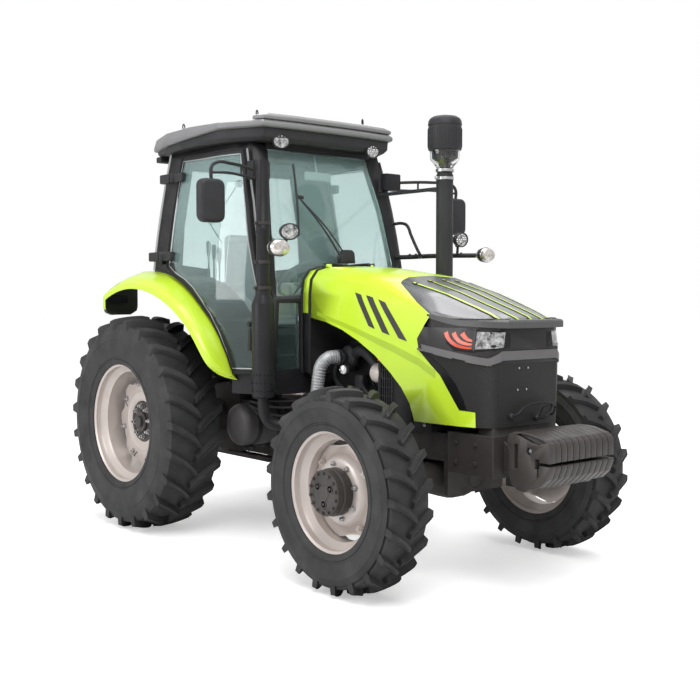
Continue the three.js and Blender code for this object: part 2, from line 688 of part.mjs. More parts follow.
// ---------------------------------------------------------------- cab interior
function dashConsole() {
  return join(
    sideSlab([[yFront(1200) + 40 + seat, floorLevel + floorThick + seat], [110, floorLevel + floorThick + seat],
      [96, 1180], [70, 1440], [185, 1520], [150, 1592], [0, 1630], [yFront(1200) + 40 + seat, 1560]], -150, 150),
    rod(wheelCentre.clone().addScaledVector(columnWay, -265), wheelCentre.clone().addScaledVector(columnWay, -24.4), 24),
  );
}

function steeringWheel() {
  const face = new THREE.Quaternion().setFromUnitVectors(pt(0, 0, 1), columnWay);
  const ring = new THREE.TorusGeometry(190, 14, 6, 24);
  const hub = rod(pt(0, 0, -24), pt(0, 0, 6), 38);
  const spokes = [90, 210, 330].map((angle) => {
    const turn = THREE.MathUtils.degToRad(angle);
    return rod(pt(0, 0, -8), pt(188 * Math.cos(turn), 188 * Math.sin(turn), 0), 9, 8);
  });
  return join(ring, hub, ...spokes).applyQuaternion(face).translate(0, wheelCentre.y, wheelCentre.z);
}

const seatBase = () => join(
  box(-150, 150, 590, 850, platform.level + seat, 1330),
  box(-205, 205, 520, 985, 1320, 1372),
);

function cushion() {
  return sideSlab([[482, 1400], [500, 1372 + seat], [905, 1372 + seat], [905, 1452], [700, 1440], [540, 1462],
    [492, 1448]], -240, 240);
}

function backrest() {
  return sideSlab([[905 + seat, 1470], [905 + seat, 1372 + seat], [985, 1372 + seat], [1030, 1700], [1040, 2030],
    [1010, 2062], [965, 2040], [935, 1760]], -230, 230);
}

// ---------------------------------------------------------------- hood
const hoodStations = [
  { y: hood.rear, top: 1797, half: 330 }, { y: -500, top: 1785, half: 345 }, { y: -916, top: 1729, half: 358 },
  { y: -1290, top: 1624, half: 364 }, { y: -1500, top: 1552, half: 348 }, { y: -1610, top: 1516, half: 322 },
  { y: -1670, top: 1494, half: 288 }, { y: -1700, top: 1484, half: 240 },
];

function hoodRing({ y, top, half }, offset, foot) {
  const t = top - offset;
  const w = half - offset;
  const side = [[w - 10, foot], [w, 1120], [w + 3, 1330], [w, t - 190], [w - 14, t - 92], [w - 60, t - 34],
    [w * 0.55, t - 9], [0, t]];
  return [...side, ...side.slice(0, -1).map(([x, z]) => [-x, z]).reverse()].map(([x, z]) => pt(x, y, z));
}

function hoodShell() {
  const outer = loft(hoodStations.map((s) => hoodRing(s, 0, hoodFoot)));
  const inner = loft([
    hoodRing({ ...hoodStations[0], y: hood.rear + 60 }, hood.wall, hoodFoot - 60),
    ...hoodStations.slice(1, -1).map((s) => hoodRing(s, hood.wall, hoodFoot - 60)),
    hoodRing({ ...hoodStations.at(-1), y: hoodStations.at(-1).y + hood.wall }, hood.wall + 8, hoodFoot - 60),
  ]);
  const arch = sideSlab([[0, 700], [0, 1466], [hood.rear, 1462], [-330, 1438], [-500, 1393], [-660, 1330],
    [-820, 1248], [-950, 1160], [-1050, 1075], [-1120, 985], [-1165, 860], [-1165, 700]], -600, 600);
  return cut(outer, inner, arch);
}

// side views of the hood's panel lines
const noseLine = [[-900, 2000], [-905, 1760], [-960, 1690], [-1290, 1495], [-1190, 1358], [-1205, 1295],
  [-1370, 1160], [-1502, 975], [-1600, 968], [-1602, 700], [-2200, 700], [-2200, 2000]];
const coverLine = [[-2200, 1398], [-1640, 1430], [-1290, 1495], [-800, 1495], [-800, 2200], [-2200, 2200]];
const chinLine = [[-1100, 1300], [-1192, 1322], [-1205, 1295], [-1660, 1232], [-2200, 1232], [-2200, 1700],
  [-1100, 1700]];

const region = (points, offset = 0) => sideSlab(inset(points, offset), -700, 700);

const hoodPanel = () => cut(hoodShell(), region(noseLine, -seat));

function hoodCover() {
  const skin = common(common(hoodShell(), region(noseLine)), region(coverLine));
  const lip = [
    { y: -1300, half: 352, top: 1522 }, { y: -1480, half: 338, top: 1490 }, { y: -1620, half: 306, top: 1478 },
    { y: -1700, half: 262, top: 1470 }, { y: hood.front, half: 225, top: 1464 },
  ].map(({ y, half, top }) => [pt(half, y, top - 34), pt(half, y, top - 6), pt(half - 30, y, top),
    pt(30 - half, y, top), pt(-half, y, top - 6), pt(-half, y, top - 34)]);
  const inner = loft(hoodStations.map((s, i) => hoodRing(
    i === 0 ? s : { ...s, y: s.y + (i === hoodStations.length - 1 ? hood.wall : 0) }, hood.wall, 700,
  )));
  return join(skin, cut(loft(lip), inner));
}

function nosePanel() {
  const band = cut(common(common(hoodShell(), region(noseLine)), region(chinLine)), region(coverLine, -seat));
  const body = cut(band, lipShadow());
  return cut(body, ...[-1, 1].map((side) => lampBlock(side, seat)));
}

const lipShadow = () => box(-400, 400, -1760, -1240, 1426, 1540);

function lampBlock(side, grow = 0) {
  const block = loft([[-1560, 0], [-1760, 0]].map(([y]) => [
    pt(150 - grow, y, 1318 - grow), pt(330 + grow, y, 1300 - grow), pt(372 + grow, y, 1408 + grow),
    pt(150 - grow, y, 1400 + grow),
  ]));
  return side < 0 ? mirrored(block) : block;
}

function headlight(side) {
  return cut(common(common(hoodShell(), region(noseLine)), lampBlock(side)), lipShadow());
}

function grille() {
  const lower = cut(common(hoodShell(), region(noseLine)), region(chinLine, -seat), region(coverLine, -seat));
  const handle = tube([pt(60, -1690, 930), pt(66, -1726, 936), pt(96, -1732, 985), pt(200, -1728, 985),
    pt(196, -1718, 936), pt(196, -1672, 930)], 6, 6, 20);
  return join(lower, handle);
}

function cowlPanel() {
  const shape = hoodRing(hoodStations[0], 0, 1100);
  const back = shape.map((p) => pt(p.x, cowl.back, p.z));
  const front = shape.map((p) => pt(p.x, cowl.front, p.z));
  const lugs = [-180, 180].map((x) => join(
    rod(pt(x + 0.2, hood.hingeY, hood.hingeZ), pt(x + 30, hood.hingeY, hood.hingeZ), 8, 12),
    box(x + 2, x + 28, hood.hingeY - 2, cowl.front + 12, 1780, hood.hingeZ),
  ));
  return join(loft([front, back]), ...lugs);
}

function hoodHingeLugs() {
  return [-180, 180].map((x) => join(
    rod(pt(x - 30, hood.hingeY, hood.hingeZ), pt(x - 0.2, hood.hingeY, hood.hingeZ), 8, 12),
    box(x - 28, x - 2, hood.rear - 30, hood.hingeY + 2, 1784, hood.hingeZ),
  ));
}

// ---------------------------------------------------------------- stacks, tanks, mirrors
function aboutZ(profile, sides) {
  const points = profile.map(([r, z]) => new THREE.Vector2(r, z));
  return outward(new THREE.LatheGeometry(points, sides).rotateX(Math.PI / 2));
}

function exhaustStack() {
  const { x, y, pipe, muffler, top, neck, shoulder, bottom } = exhaust;
  const bore = pipe - 5;
  const body = aboutZ([
    [0, bottom], [muffler - 14, bottom], [muffler, bottom + 16], [muffler, shoulder], [pipe + 8, neck],
    [pipe, neck + 14], [pipe, top], [bore, top], [bore, top - 260], [0, top - 260],
  ], 20).translate(x, y, 0);
  const level = 2000;
  const face = yFront(level - 14) - seat;
  const strap = planSlab([[x - 20, y], [-562, face], [-520, face], [x + 20, y - 30]], level - 14, level + 14);
  return join(body, strap);
}

function exhaustPipe() {
  return tube([
    pt(exhaust.x, exhaust.y, exhaust.bottom - seat), pt(exhaust.x, exhaust.y, 880),
    pt(-640, -140, 805), pt(-540, -200, 790), pt(-440, -290, 870), pt(-395, -340, 1010),
    pt(-375, -360, 1150), pt(-330, -385, 1205), pt(-240, -400, 1215), pt(-engine.headHalf - seat, -400, 1215),
  ], 36, 10, 22);
}

function airIntake() {
  const { x, y, radius, top, bottom } = intake;
  const post = rod(pt(x, y, bottom), pt(x, y, top), radius, 16);
  const elbow = tube([pt(x, y, bottom + 30), pt(x - 12, y, bottom - 30), pt(x - 70, y + 5, bottom - 78),
    pt(x - 180, y + 20, bottom - 96), pt(engine.headHalf + seat, y + 20, bottom - 96)], radius - 8, 12, 12);
  const face = yFront(2298) - seat;
  const strap = box(x + 2, x + 18, y, face, 2298, 2322);
  return join(post, elbow, strap);
}

function preCleaner() {
  const { x, y, top } = intake;
  return aboutZ([
    [0, top + seat], [50, top + seat], [58, top + 40], [96, top + 78], [100, top + 140], [112, top + 142],
    [112, top + 330], [104, top + 352], [60, top + 368], [0, top + 370],
  ], 20).translate(x, y, 0);
}

function mirror() {
  const low = 2330;
  const face = yFront(low) - seat;
  const plate = box(478, 548, face - 12, face, low, low + 84);
  const arm = tube([pt(520, face - 6, 2392), pt(640, 40, 2404), pt(860, -60, 2412), pt(1000, -104, 2404),
    pt(1040, -115, 2372), pt(1043, -116, 2250)], 11, 8, 12);
  const brace = tube([pt(520, face - 6, 2350), pt(700, 10, 2350), pt(900, -76, 2352), pt(1042, -115, 2340)],
    8, 6, 8);
  const head = new THREE.Shape();
  const [w, h, r] = [90, 132, 34];
  head.moveTo(r - w, -h).lineTo(w - r, -h).quadraticCurveTo(w, -h, w, r - h).lineTo(w, h - r)
    .quadraticCurveTo(w, h, w - r, h).lineTo(r - w, h).quadraticCurveTo(-w, h, -w, h - r)
    .lineTo(-w, r - h).quadraticCurveTo(-w, -h, r - w, -h);
  const shell = new THREE.ExtrudeGeometry(head, { depth: 62, bevelEnabled: false, curveSegments: 4 })
    .rotateX(Math.PI / 2).translate(1043, -84, 2173);
  return join(plate, arm, brace, shell);
}

function airTank() {
  const { x0, x1, y, z, radius } = tank;
  const shell = turned([
    [0, x0], [radius * 0.55, x0 + 4], [radius * 0.9, x0 + 24], [radius, x0 + 52], [radius, x1 - 40],
    [radius * 0.8, x1 - 10], [0, x1],
  ], 20).translate(0, y, z);
  const bracket = box(x1 - 20, -gearbox.halfWidth - seat, y - 45, y + 45, z - 70, z + 40);
  return join(shell, bracket);
}

function fuelTank() {
  const body = planSlab([[300, -290], [600, -290], [640, -250], [640, 300], [560, 345], [300, 345]], 530, 930);
  const bracket = box(gearbox.halfWidth + seat, 320, -120, 200, 640, 760);
  const treads = [430, 690].map((z) => box(630, 850, -110, 190, z, z + 22));
  const sides = [-110, 182].map((y) => box(632, 850, y, y + 8, 430, 760));
  return join(body, bracket, ...treads, ...sides);
}

// ---------------------------------------------------------------- finishes and assembly
const paint = {
  lime: [0xd4f03a, 0.35, 0], grey: [0x6d6a6a, 0.5, 0.1], black: [0x232325, 0.6, 0.1],
  iron: [0x2b2827, 0.7, 0.2], rubber: [0x2e2e30, 0.85, 0], silver: [0xc4b8b0, 0.45, 0.3],
  glass: [0xbfe6e2, 0.1, 0], fabric: [0x8f9a94, 0.9, 0], steel: [0xb9bcc0, 0.3, 0.9],
  lamp: [0xe8eef0, 0.15, 0],
};

// heights below are above the datum plane; the tyres reach down past it to the ground
const tractor = new THREE.Group();
const machine = new THREE.Group();
machine.position.z = rearWheel.radius - rearWheel.hub;
tractor.add(machine);

function add(name, geometry, finish, parent = machine) {
  const [color, roughness, metalness] = paint[finish];
  const bare = positionsOnly(geometry);
  bare.computeVertexNormals();
  const mesh = new THREE.Mesh(bare, new THREE.MeshStandardMaterial({ color, roughness, metalness }));
  mesh.name = name;
  parent.add(mesh);
  return mesh;
}

function addBothSides(name, leftGeometry, finish) {
  add(`${name}_left`, leftGeometry, finish);
  add(`${name}_right`, mirrored(leftGeometry), finish);
}

const frontRim = rim(frontWheel, 905.4, frontWheel.face + frontHubCapReach, 28);
const frontTyre = tyre(frontWheel, 28);
const rearRim = rim(rearWheel, rearHubBack, rearHubBack + 72, 32);
const rearTyre = tyre(rearWheel, 32);

for (const [word, side] of [['left', 1], ['right', -1]]) {
  for (const [end, size, axleY, metal, rubber] of [
    ['front', frontWheel, frontAxleY, frontRim, frontTyre], ['rear', rearWheel, rearAxleY, rearRim, rearTyre],
  ]) {
    const wheel = new THREE.Group();
    wheel.position.copy(wheelAt(side, size, axleY));
    machine.add(wheel);
    add(`${end}_rim_${word}`, side < 0 ? mirrored(metal) : metal, 'silver', wheel);
    add(`${end}_tyre_${word}`, side < 0 ? mirrored(rubber) : rubber, 'rubber', wheel);
  }
}

add('front_axle', frontAxle(), 'iron');
add('steering_rod', steeringRod(), 'steel');
addBothSides('knuckle', knuckle(), 'iron');

add('front_frame', frontFrame(), 'iron');
add('weight_carrier', weightCarrier(), 'iron');
add('front_weights', frontWeights(), 'iron');
add('engine_block', engineBlock(), 'iron');
add('radiator', radiatorPack(), 'black');
add('rear_housing', rearHousing(), 'iron');
add('exhaust_stack', exhaustStack(), 'black');
add('exhaust_pipe', exhaustPipe(), 'steel');
add('air_intake', airIntake(), 'black');
add('pre_cleaner', preCleaner(), 'black');
add('fuel_tank', fuelTank(), 'black');
add('air_tank', airTank(), 'black');

add('lift_arms', liftArms(), 'iron');
addBothSides('lift_rod', liftRod(), 'iron');
addBothSides('lower_link', lowerLink(), 'iron');
add('top_link', topLink(), 'iron');
add('drawbar', drawbar(), 'iron');
add('pto_shaft', ptoShaft(), 'steel');

add('cab_frame', join(cabFrame(), ...rearHingeLugs()), 'black');
add('cab_roof', cabRoof(), 'grey');
add('windscreen', windscreen(), 'glass');
addBothSides('quarter_glass', quarterGlass(), 'glass');
add('rear_window', rearWindow(), 'glass');
addBothSides('door', door(), 'black');
addBothSides('door_glass', doorGlass(), 'glass');
addBothSides('fender', fender(), 'lime');
addBothSides('mirror', mirror(), 'black');
add('dash_console', dashConsole(), 'black');
add('steering_wheel', steeringWheel(), 'black');
add('seat_base', seatBase(), 'black');
add('seat_cushion', cushion(), 'fabric');
add('seat_back', backrest(), 'fabric');

add('cowl', cowlPanel(), 'lime');
add('hood_panel', join(hoodPanel(), ...hoodHingeLugs()), 'lime');
add('hood_cover', hoodCover(), 'grey');
add('nose_panel', nosePanel(), 'black');
add('grille', grille(), 'black');
add('headlight_left', headlight(1), 'lamp');
add('headlight_right', headlight(-1), 'lamp');

export default tractor;
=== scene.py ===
import json
import math

import bmesh
import bpy
from mathutils import Matrix, Vector
from mathutils.bvhtree import BVHTree

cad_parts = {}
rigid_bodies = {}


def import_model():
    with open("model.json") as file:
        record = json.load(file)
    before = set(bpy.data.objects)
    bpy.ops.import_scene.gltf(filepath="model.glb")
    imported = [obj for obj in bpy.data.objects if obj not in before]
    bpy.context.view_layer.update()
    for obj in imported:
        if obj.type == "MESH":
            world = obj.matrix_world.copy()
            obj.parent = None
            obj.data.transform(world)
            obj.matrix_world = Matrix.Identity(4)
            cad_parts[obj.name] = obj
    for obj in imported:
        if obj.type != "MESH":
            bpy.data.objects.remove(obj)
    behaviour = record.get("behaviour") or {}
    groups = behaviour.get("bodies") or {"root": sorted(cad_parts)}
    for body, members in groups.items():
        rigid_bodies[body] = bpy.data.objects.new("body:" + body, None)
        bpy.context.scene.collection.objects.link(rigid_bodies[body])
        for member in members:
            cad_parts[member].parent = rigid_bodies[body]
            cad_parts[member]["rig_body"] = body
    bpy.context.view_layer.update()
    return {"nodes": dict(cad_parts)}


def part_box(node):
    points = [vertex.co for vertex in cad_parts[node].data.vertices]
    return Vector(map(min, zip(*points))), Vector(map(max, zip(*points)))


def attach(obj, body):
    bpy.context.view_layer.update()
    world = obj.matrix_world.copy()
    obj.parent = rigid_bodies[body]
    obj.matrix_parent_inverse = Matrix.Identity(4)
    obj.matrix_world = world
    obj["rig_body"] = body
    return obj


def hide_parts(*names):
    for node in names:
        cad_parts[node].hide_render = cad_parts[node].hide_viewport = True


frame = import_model()
scene = bpy.context.scene
nodes = frame["nodes"]


def feed(tree, socket, value):  # gives a node's input a value, or the output of another node
    if isinstance(value, bpy.types.NodeSocket):
        tree.links.new(value, socket)
    else:
        socket.default_value = value


def addNode(tree, kind, inputs=None, **settings):
    node = tree.nodes.new(kind)
    for key, value in settings.items():
        setattr(node, key, value)
    for key, value in (inputs or {}).items():
        feed(tree, node.inputs[key], value)
    return node


def mapRange(tree, source, fromMin, fromMax, toMin=0.0, toMax=1.0):
    node = addNode(tree, "ShaderNodeMapRange", {"Value": source, "From Min": fromMin, "From Max": fromMax,
                                                "To Min": toMin, "To Max": toMax})
    return node.outputs[0]


def blankMaterial(name, inputs):  # a material with its principled shader's inputs filled
    material = bpy.data.materials.new(name)
    material.use_nodes = True
    tree = material.node_tree
    principled = tree.nodes["Principled BSDF"]
    for key, value in inputs.items():
        principled.inputs[key].default_value = value
    return material, tree, principled


# camera, floor and light
camera = {"place": (-4.552, -5.575, 1.629), "heading": 40.09, "tilt": -2.91, "lens": 54.9, "sensor": 36,
          "far": 200}


def setCamera():
    data = bpy.data.cameras.new("mainCamera")
    data.lens = camera["lens"]
    data.sensor_width = camera["sensor"]
    data.clip_end = camera["far"]
    obj = bpy.data.objects.new("mainCamera", data)
    scene.collection.objects.link(obj)
    obj.location = camera["place"]
    heading, tilt = math.radians(camera["heading"]), math.radians(camera["tilt"])
    ahead = Vector((math.sin(heading) * math.cos(tilt), math.cos(heading) * math.cos(tilt), math.sin(tilt)))
    obj.rotation_euler = ahead.to_track_quat("-Z", "Y").to_euler()
    scene.camera = obj


studio = {"floorHalf": 60, "floorDrop": 0.001, "floorColour": (0.80, 0.80, 0.80, 1), "floorRoughness": 0.9,
          "floorSpecular": 0.1, "lift": 0.43, "ambient": 0.73,
          "lamps": [  # name, place, aim, size, watts
              ("keyLamp", (-3.0, -4.5, 7.5), (0, 0, 1.0), 5.0, 460),
              ("topLamp", (1.5, 1.0, 8.5), (0, 0, 1.0), 7.0, 380),
              ("sideLamp", (-8.0, 2.0, 3.5), (0, 0, 1.2), 4.0, 230)]}


def seenRays(tree):  # 1 for what the camera sees, straight on or through glass
    rays = addNode(tree, "ShaderNodeLightPath")
    return addNode(tree, "ShaderNodeMath", {0: rays.outputs["Is Camera Ray"],
                                            1: rays.outputs["Is Transmission Ray"]},
                   operation="MAXIMUM").outputs[0]


def setStudio():
    world = bpy.data.worlds.new("studioWorld")
    scene.world = world
    world.use_nodes = True
    tree = world.node_tree
    back = tree.nodes["Background"]
    feed(tree, back.inputs["Strength"], mapRange(tree, seenRays(tree), 0, 1, studio["ambient"], 1))
    back.inputs["Color"].default_value = (1, 1, 1, 1)

    bm = bmesh.new()
    bmesh.ops.create_grid(bm, x_segments=1, y_segments=1, size=studio["floorHalf"])
    mesh = bpy.data.meshes.new("floor")
    bm.to_mesh(mesh)
    bm.free()
    floor = bpy.data.objects.new("floor", mesh)
    scene.collection.objects.link(floor)
    floor.location.z = -studio["floorDrop"]
    material, tree, principled = blankMaterial("paleFloor", {
        "Base Color": studio["floorColour"], "Roughness": studio["floorRoughness"],
        "Specular IOR Level": studio["floorSpecular"], "Emission Color": (1, 1, 1, 1)})
    lift = addNode(tree, "ShaderNodeMath", {0: seenRays(tree), 1: studio["lift"]}, operation="MULTIPLY")
    feed(tree, principled.inputs["Emission Strength"], lift.outputs[0])
    floor.data.materials.append(material)

    for name, place, aim, size, watts in studio["lamps"]:
        lamp = bpy.data.lights.new(name, "AREA")
        lamp.size = size
        lamp.energy = watts
        obj = bpy.data.objects.new(name, lamp)
        scene.collection.objects.link(obj)
        obj.location = place
        obj.rotation_euler = (Vector(aim) - Vector(place)).to_track_quat("-Z", "Y").to_euler()


setCamera()
setStudio()
scene.view_settings.view_transform = "Standard"
print("stage: camera, floor and light")


# finishes
def newGroup(name, inputs, outputs):  # a node group with its input and output sockets
    tree = bpy.data.node_groups.new(name, "ShaderNodeTree")
    for label, kind, value in inputs:
        tree.interface.new_socket(label, in_out="INPUT", socket_type=kind).default_value = value
    for label, kind in outputs:
        tree.interface.new_socket(label, in_out="OUTPUT", socket_type=kind)
    return tree, addNode(tree, "NodeGroupInput").outputs, addNode(tree, "NodeGroupOutput").inputs


def buildTone():  # slow change of tone over a surface
    tree, given, result = newGroup("slowTone", [
        ("Colour", "NodeSocketColor", (0.5, 0.5, 0.5, 1)), ("Shade", "NodeSocketColor", (0.4, 0.4, 0.4, 1)),
        ("Scale", "NodeSocketFloat", 6), ("Amount", "NodeSocketFloat", 0.4)], [("Colour", "NodeSocketColor")])
    place = addNode(tree, "ShaderNodeTexCoord").outputs["Object"]
    noise = addNode(tree, "ShaderNodeTexNoise", {"Vector": place, "Scale": given["Scale"], "Detail": 5})
    spread = mapRange(tree, noise.outputs["Fac"], 0.35, 0.68)
    share = addNode(tree, "ShaderNodeMath", {0: spread, 1: given["Amount"]}, operation="MULTIPLY")
    mixer = addNode(tree, "ShaderNodeMix", {"Factor": share.outputs[0], 6: given["Colour"], 7: given["Shade"]},
                    data_type="RGBA")
    feed(tree, result["Colour"], mixer.outputs[2])
    return tree


def buildGrain():  # fine height for castings, moulded plastic, paint and rubber
    tree, given, result = newGroup("surfaceGrain", [
        ("Scale", "NodeSocketFloat", 300), ("Roughness Low", "NodeSocketFloat", 0.4),
        ("Roughness High", "NodeSocketFloat", 0.6)], [("Height", "NodeSocketFloat"),
                                                      ("Roughness", "NodeSocketFloat")])
    place = addNode(tree, "ShaderNodeTexCoord").outputs["Object"]
    fine = addNode(tree, "ShaderNodeTexNoise", {"Vector": place, "Scale": given["Scale"], "Detail": 3})
    broad = addNode(tree, "ShaderNodeTexNoise", {"Vector": place, "Scale": 9, "Detail": 6})
    feed(tree, result["Height"], fine.outputs["Fac"])
    feed(tree, result["Roughness"], mapRange(tree, broad.outputs["Fac"], 0.3, 0.7, given["Roughness Low"],
                                             given["Roughness High"]))
    return tree


toneGroup = buildTone()
grainGroup = buildGrain()

# colour, shade, tone scale, tone amount, roughness low and high, grain scale, bump, metallic, coat
finishes = {
    "limePaint": ((0.560, 0.790, 0.032), (0.490, 0.715, 0.026), 3, 0.5, 0.28, 0.36, 700, 0.03, 0.0, 0.6),
    # the next lime is darker: painted shade for the facet under the hood's crease
    "limePaintedShade": ((0.400, 0.580, 0.020), (0.360, 0.520, 0.018), 3, 0.5, 0.30, 0.40, 700, 0.03, 0.0, 0.4),
    "lipGrey": ((0.070, 0.070, 0.072), (0.055, 0.055, 0.057), 5, 0.5, 0.32, 0.42, 900, 0.05, 0.0, 0.1),
    # the next is a dark olive: painted shade for the inside of the rear fender flap
    "flapPaintedShade": ((0.040, 0.046, 0.022), (0.030, 0.035, 0.017), 5, 0.5, 0.45, 0.60, 700, 0.08, 0.0, 0.0),
    "charcoalPlastic": ((0.055, 0.052, 0.052), (0.040, 0.038, 0.038), 5, 0.6, 0.38, 0.50, 900, 0.10, 0.0, 0.0),
    "noseGrey": ((0.026, 0.024, 0.024), (0.020, 0.018, 0.018), 5, 0.6, 0.30, 0.42, 900, 0.06, 0.0, 0.1),
    "glossBlack": ((0.009, 0.009, 0.010), (0.006, 0.006, 0.007), 5, 0.4, 0.16, 0.24, 900, 0.01, 0.0, 0.0),
    # the next chrome mixes bright and near-black patches: painted reflections of a faceted lamp reflector
    "lampChromePaintedReflections": ((0.800, 0.800, 0.810), (0.120, 0.120, 0.125), 40, 1.0, 0.06, 0.22, 60, 0.90, 0.9, 0.8),
    "chinGrey": ((0.120, 0.115, 0.115), (0.095, 0.092, 0.092), 5, 0.5, 0.30, 0.40, 900, 0.05, 0.0, 0.2),
    "mirrorGlass": ((0.800, 0.820, 0.840), (0.700, 0.720, 0.740), 8, 0.3, 0.02, 0.05, 900, 0.00, 1.0, 0.0),
    "clearChrome": ((0.780, 0.740, 0.700), (0.420, 0.380, 0.350), 60, 0.9, 0.06, 0.16, 90, 0.60, 0.7, 0.9),
    "coverPlastic": ((0.215, 0.216, 0.222), (0.180, 0.181, 0.186), 4, 0.5, 0.25, 0.34, 900, 0.05, 0.0, 0.3),
    "roofGrey": ((0.180, 0.180, 0.186), (0.150, 0.150, 0.155), 4, 0.5, 0.40, 0.52, 500, 0.06, 0.0, 0.0),
    # the next grey is paler: painted light for the roof's upward faces
    "roofPaintedHighlight": ((0.480, 0.475, 0.465), (0.420, 0.415, 0.405), 4, 0.5, 0.42, 0.55, 500, 0.06, 0.0, 0.0),
    "blackPlastic": ((0.030, 0.030, 0.033), (0.020, 0.020, 0.022), 7, 0.6, 0.42, 0.58, 700, 0.12, 0.0, 0.0),
    "blackPaint": ((0.018, 0.018, 0.020), (0.011, 0.011, 0.013), 6, 0.5, 0.34, 0.48, 400, 0.06, 0.0, 0.0),
    "castDark": ((0.050, 0.044, 0.042), (0.034, 0.030, 0.029), 9, 0.7, 0.45, 0.62, 160, 0.30, 0.2, 0.0),
    "castBrown": ((0.056, 0.050, 0.047), (0.038, 0.034, 0.032), 9, 0.6, 0.32, 0.46, 160, 0.22, 0.2, 0.0),
    "engineDark": ((0.030, 0.031, 0.033), (0.018, 0.018, 0.020), 11, 0.7, 0.45, 0.65, 120, 0.30, 0.2, 0.0),
    "tyreRubber": ((0.038, 0.038, 0.039), (0.020, 0.020, 0.021), 7, 0.8, 0.48, 0.74, 260, 0.30, 0.0, 0.0),
    # the next dark rubber also serves as painted shade in the hood cover's grooves
    "rubberSealAndPaintedShade": ((0.022, 0.022, 0.023), (0.015, 0.015, 0.016), 12, 0.5, 0.55, 0.7, 400, 0.10, 0.0, 0.0),
    "rimSilver": ((0.560, 0.500, 0.470), (0.470, 0.415, 0.385), 6, 0.5, 0.36, 0.48, 600, 0.04, 0.35, 0.3),
    "postSilver": ((0.420, 0.425, 0.430), (0.360, 0.365, 0.370), 6, 0.5, 0.32, 0.42, 600, 0.03, 0.5, 0.2),
    "brightSteel": ((0.560, 0.560, 0.570), (0.420, 0.420, 0.430), 14, 0.5, 0.22, 0.38, 300, 0.05, 0.95, 0.0),
    "wrapSilver": ((0.400, 0.410, 0.420), (0.290, 0.300, 0.310), 20, 0.6, 0.38, 0.55, 220, 0.25, 0.5, 0.0),
    "interiorGrey": ((0.150, 0.175, 0.165), (0.115, 0.135, 0.128), 8, 0.6, 0.50, 0.65, 600, 0.10, 0.0, 0.0),
    "consoleGrey": ((0.330, 0.350, 0.335), (0.270, 0.290, 0.275), 8, 0.5, 0.45, 0.60, 600, 0.08, 0.0, 0.0),
    "orangeGlow": ((0.620, 0.055, 0.010), (0.500, 0.040, 0.008), 10, 0.4, 0.25, 0.32, 500, 0.02, 0.0, 0.5),
    "redGlow": ((0.600, 0.015, 0.012), (0.450, 0.010, 0.010), 10, 0.4, 0.20, 0.30, 500, 0.02, 0.0, 0.5),
}
# specular level of the finishes that shine less than plain plastic
dullShine = {"blackPaint": 0.22, "blackPlastic": 0.25, "castDark": 0.25, "castBrown": 0.40, "glossBlack": 0.30,
             "engineDark": 0.22, "tyreRubber": 0.28, "charcoalPlastic": 0.25, "noseGrey": 0.30,
             "rubberSealAndPaintedShade": 0.20}
relief = {"depth": 0.002, "coatRoughness": 0.12, "meshShine": 0.3, "plainShine": 0.5}
materials = {}


def addBump(tree, principled, height, strength):
    node = addNode(tree, "ShaderNodeBump", {"Strength": strength, "Distance": relief["depth"],
                                            "Height": height})
    feed(tree, principled.inputs["Normal"], node.outputs["Normal"])


def buildFinish(name, colour, shade, toneScale, amount, low, high, grain, bump, metallic, coat):
    materials[name], tree, principled = blankMaterial(name, {
        "Metallic": metallic, "Coat Weight": coat, "Coat Roughness": relief["coatRoughness"],
        "Specular IOR Level": dullShine.get(name, relief["plainShine"])})
    tone = addNode(tree, "ShaderNodeGroup", {"Colour": (*colour, 1), "Shade": (*shade, 1), "Scale": toneScale,
                                             "Amount": amount}, node_tree=toneGroup)
    surface = addNode(tree, "ShaderNodeGroup", {"Scale": grain, "Roughness Low": low, "Roughness High": high},
                      node_tree=grainGroup)
    addBump(tree, principled, surface.outputs["Height"], bump)
    feed(tree, principled.inputs["Base Color"], tone.outputs["Colour"])
    feed(tree, principled.inputs["Roughness"], surface.outputs["Roughness"])


def buildMesh(name, pitch, pale, dark, bump,
              roughness):  # a fine woven mesh, or with a closer pitch a woven fabric
    materials[name], tree, principled = blankMaterial(name, {
        "Roughness": roughness, "Specular IOR Level": relief["meshShine"]})
    split = addNode(tree, "ShaderNodeSeparateXYZ",
                    {0: addNode(tree, "ShaderNodeTexCoord").outputs["Object"]}).outputs
    flat = addNode(tree, "ShaderNodeMath", {0: split["X"], 1: split["Y"]}, operation="ADD").outputs[0]
    waves = []
    for source in (flat, split["Z"]):
        scale = addNode(tree, "ShaderNodeMath", {0: source, 1: pitch}, operation="MULTIPLY")
        waves.append(addNode(tree, "ShaderNodeMath", {0: scale.outputs[0]}, operation="SINE").outputs[0])
    holes = addNode(tree, "ShaderNodeMath", {0: waves[0], 1: waves[1]}, operation="MULTIPLY").outputs[0]
    mixer = addNode(tree, "ShaderNodeMix", {"Factor": mapRange(tree, holes, -0.5, 0.5), 6: pale, 7: dark},
                    data_type="RGBA")
    feed(tree, principled.inputs["Base Color"], mixer.outputs[2])
    addBump(tree, principled, holes, bump)


# painted sheen: a pale diffuse layer that lightens what stands behind a pane in place of the surroundings'
# reflection, weaker low down
glassPaintedSheen = {"colour": (0.40, 0.58, 0.565, 1), "low": (1.45, 0.03), "high": (2.15, 0.19)}
glassTint = {"tintedGlass": (0.875, 0.955, 0.950), "bowlGlass": (0.90, 0.90, 0.89)}


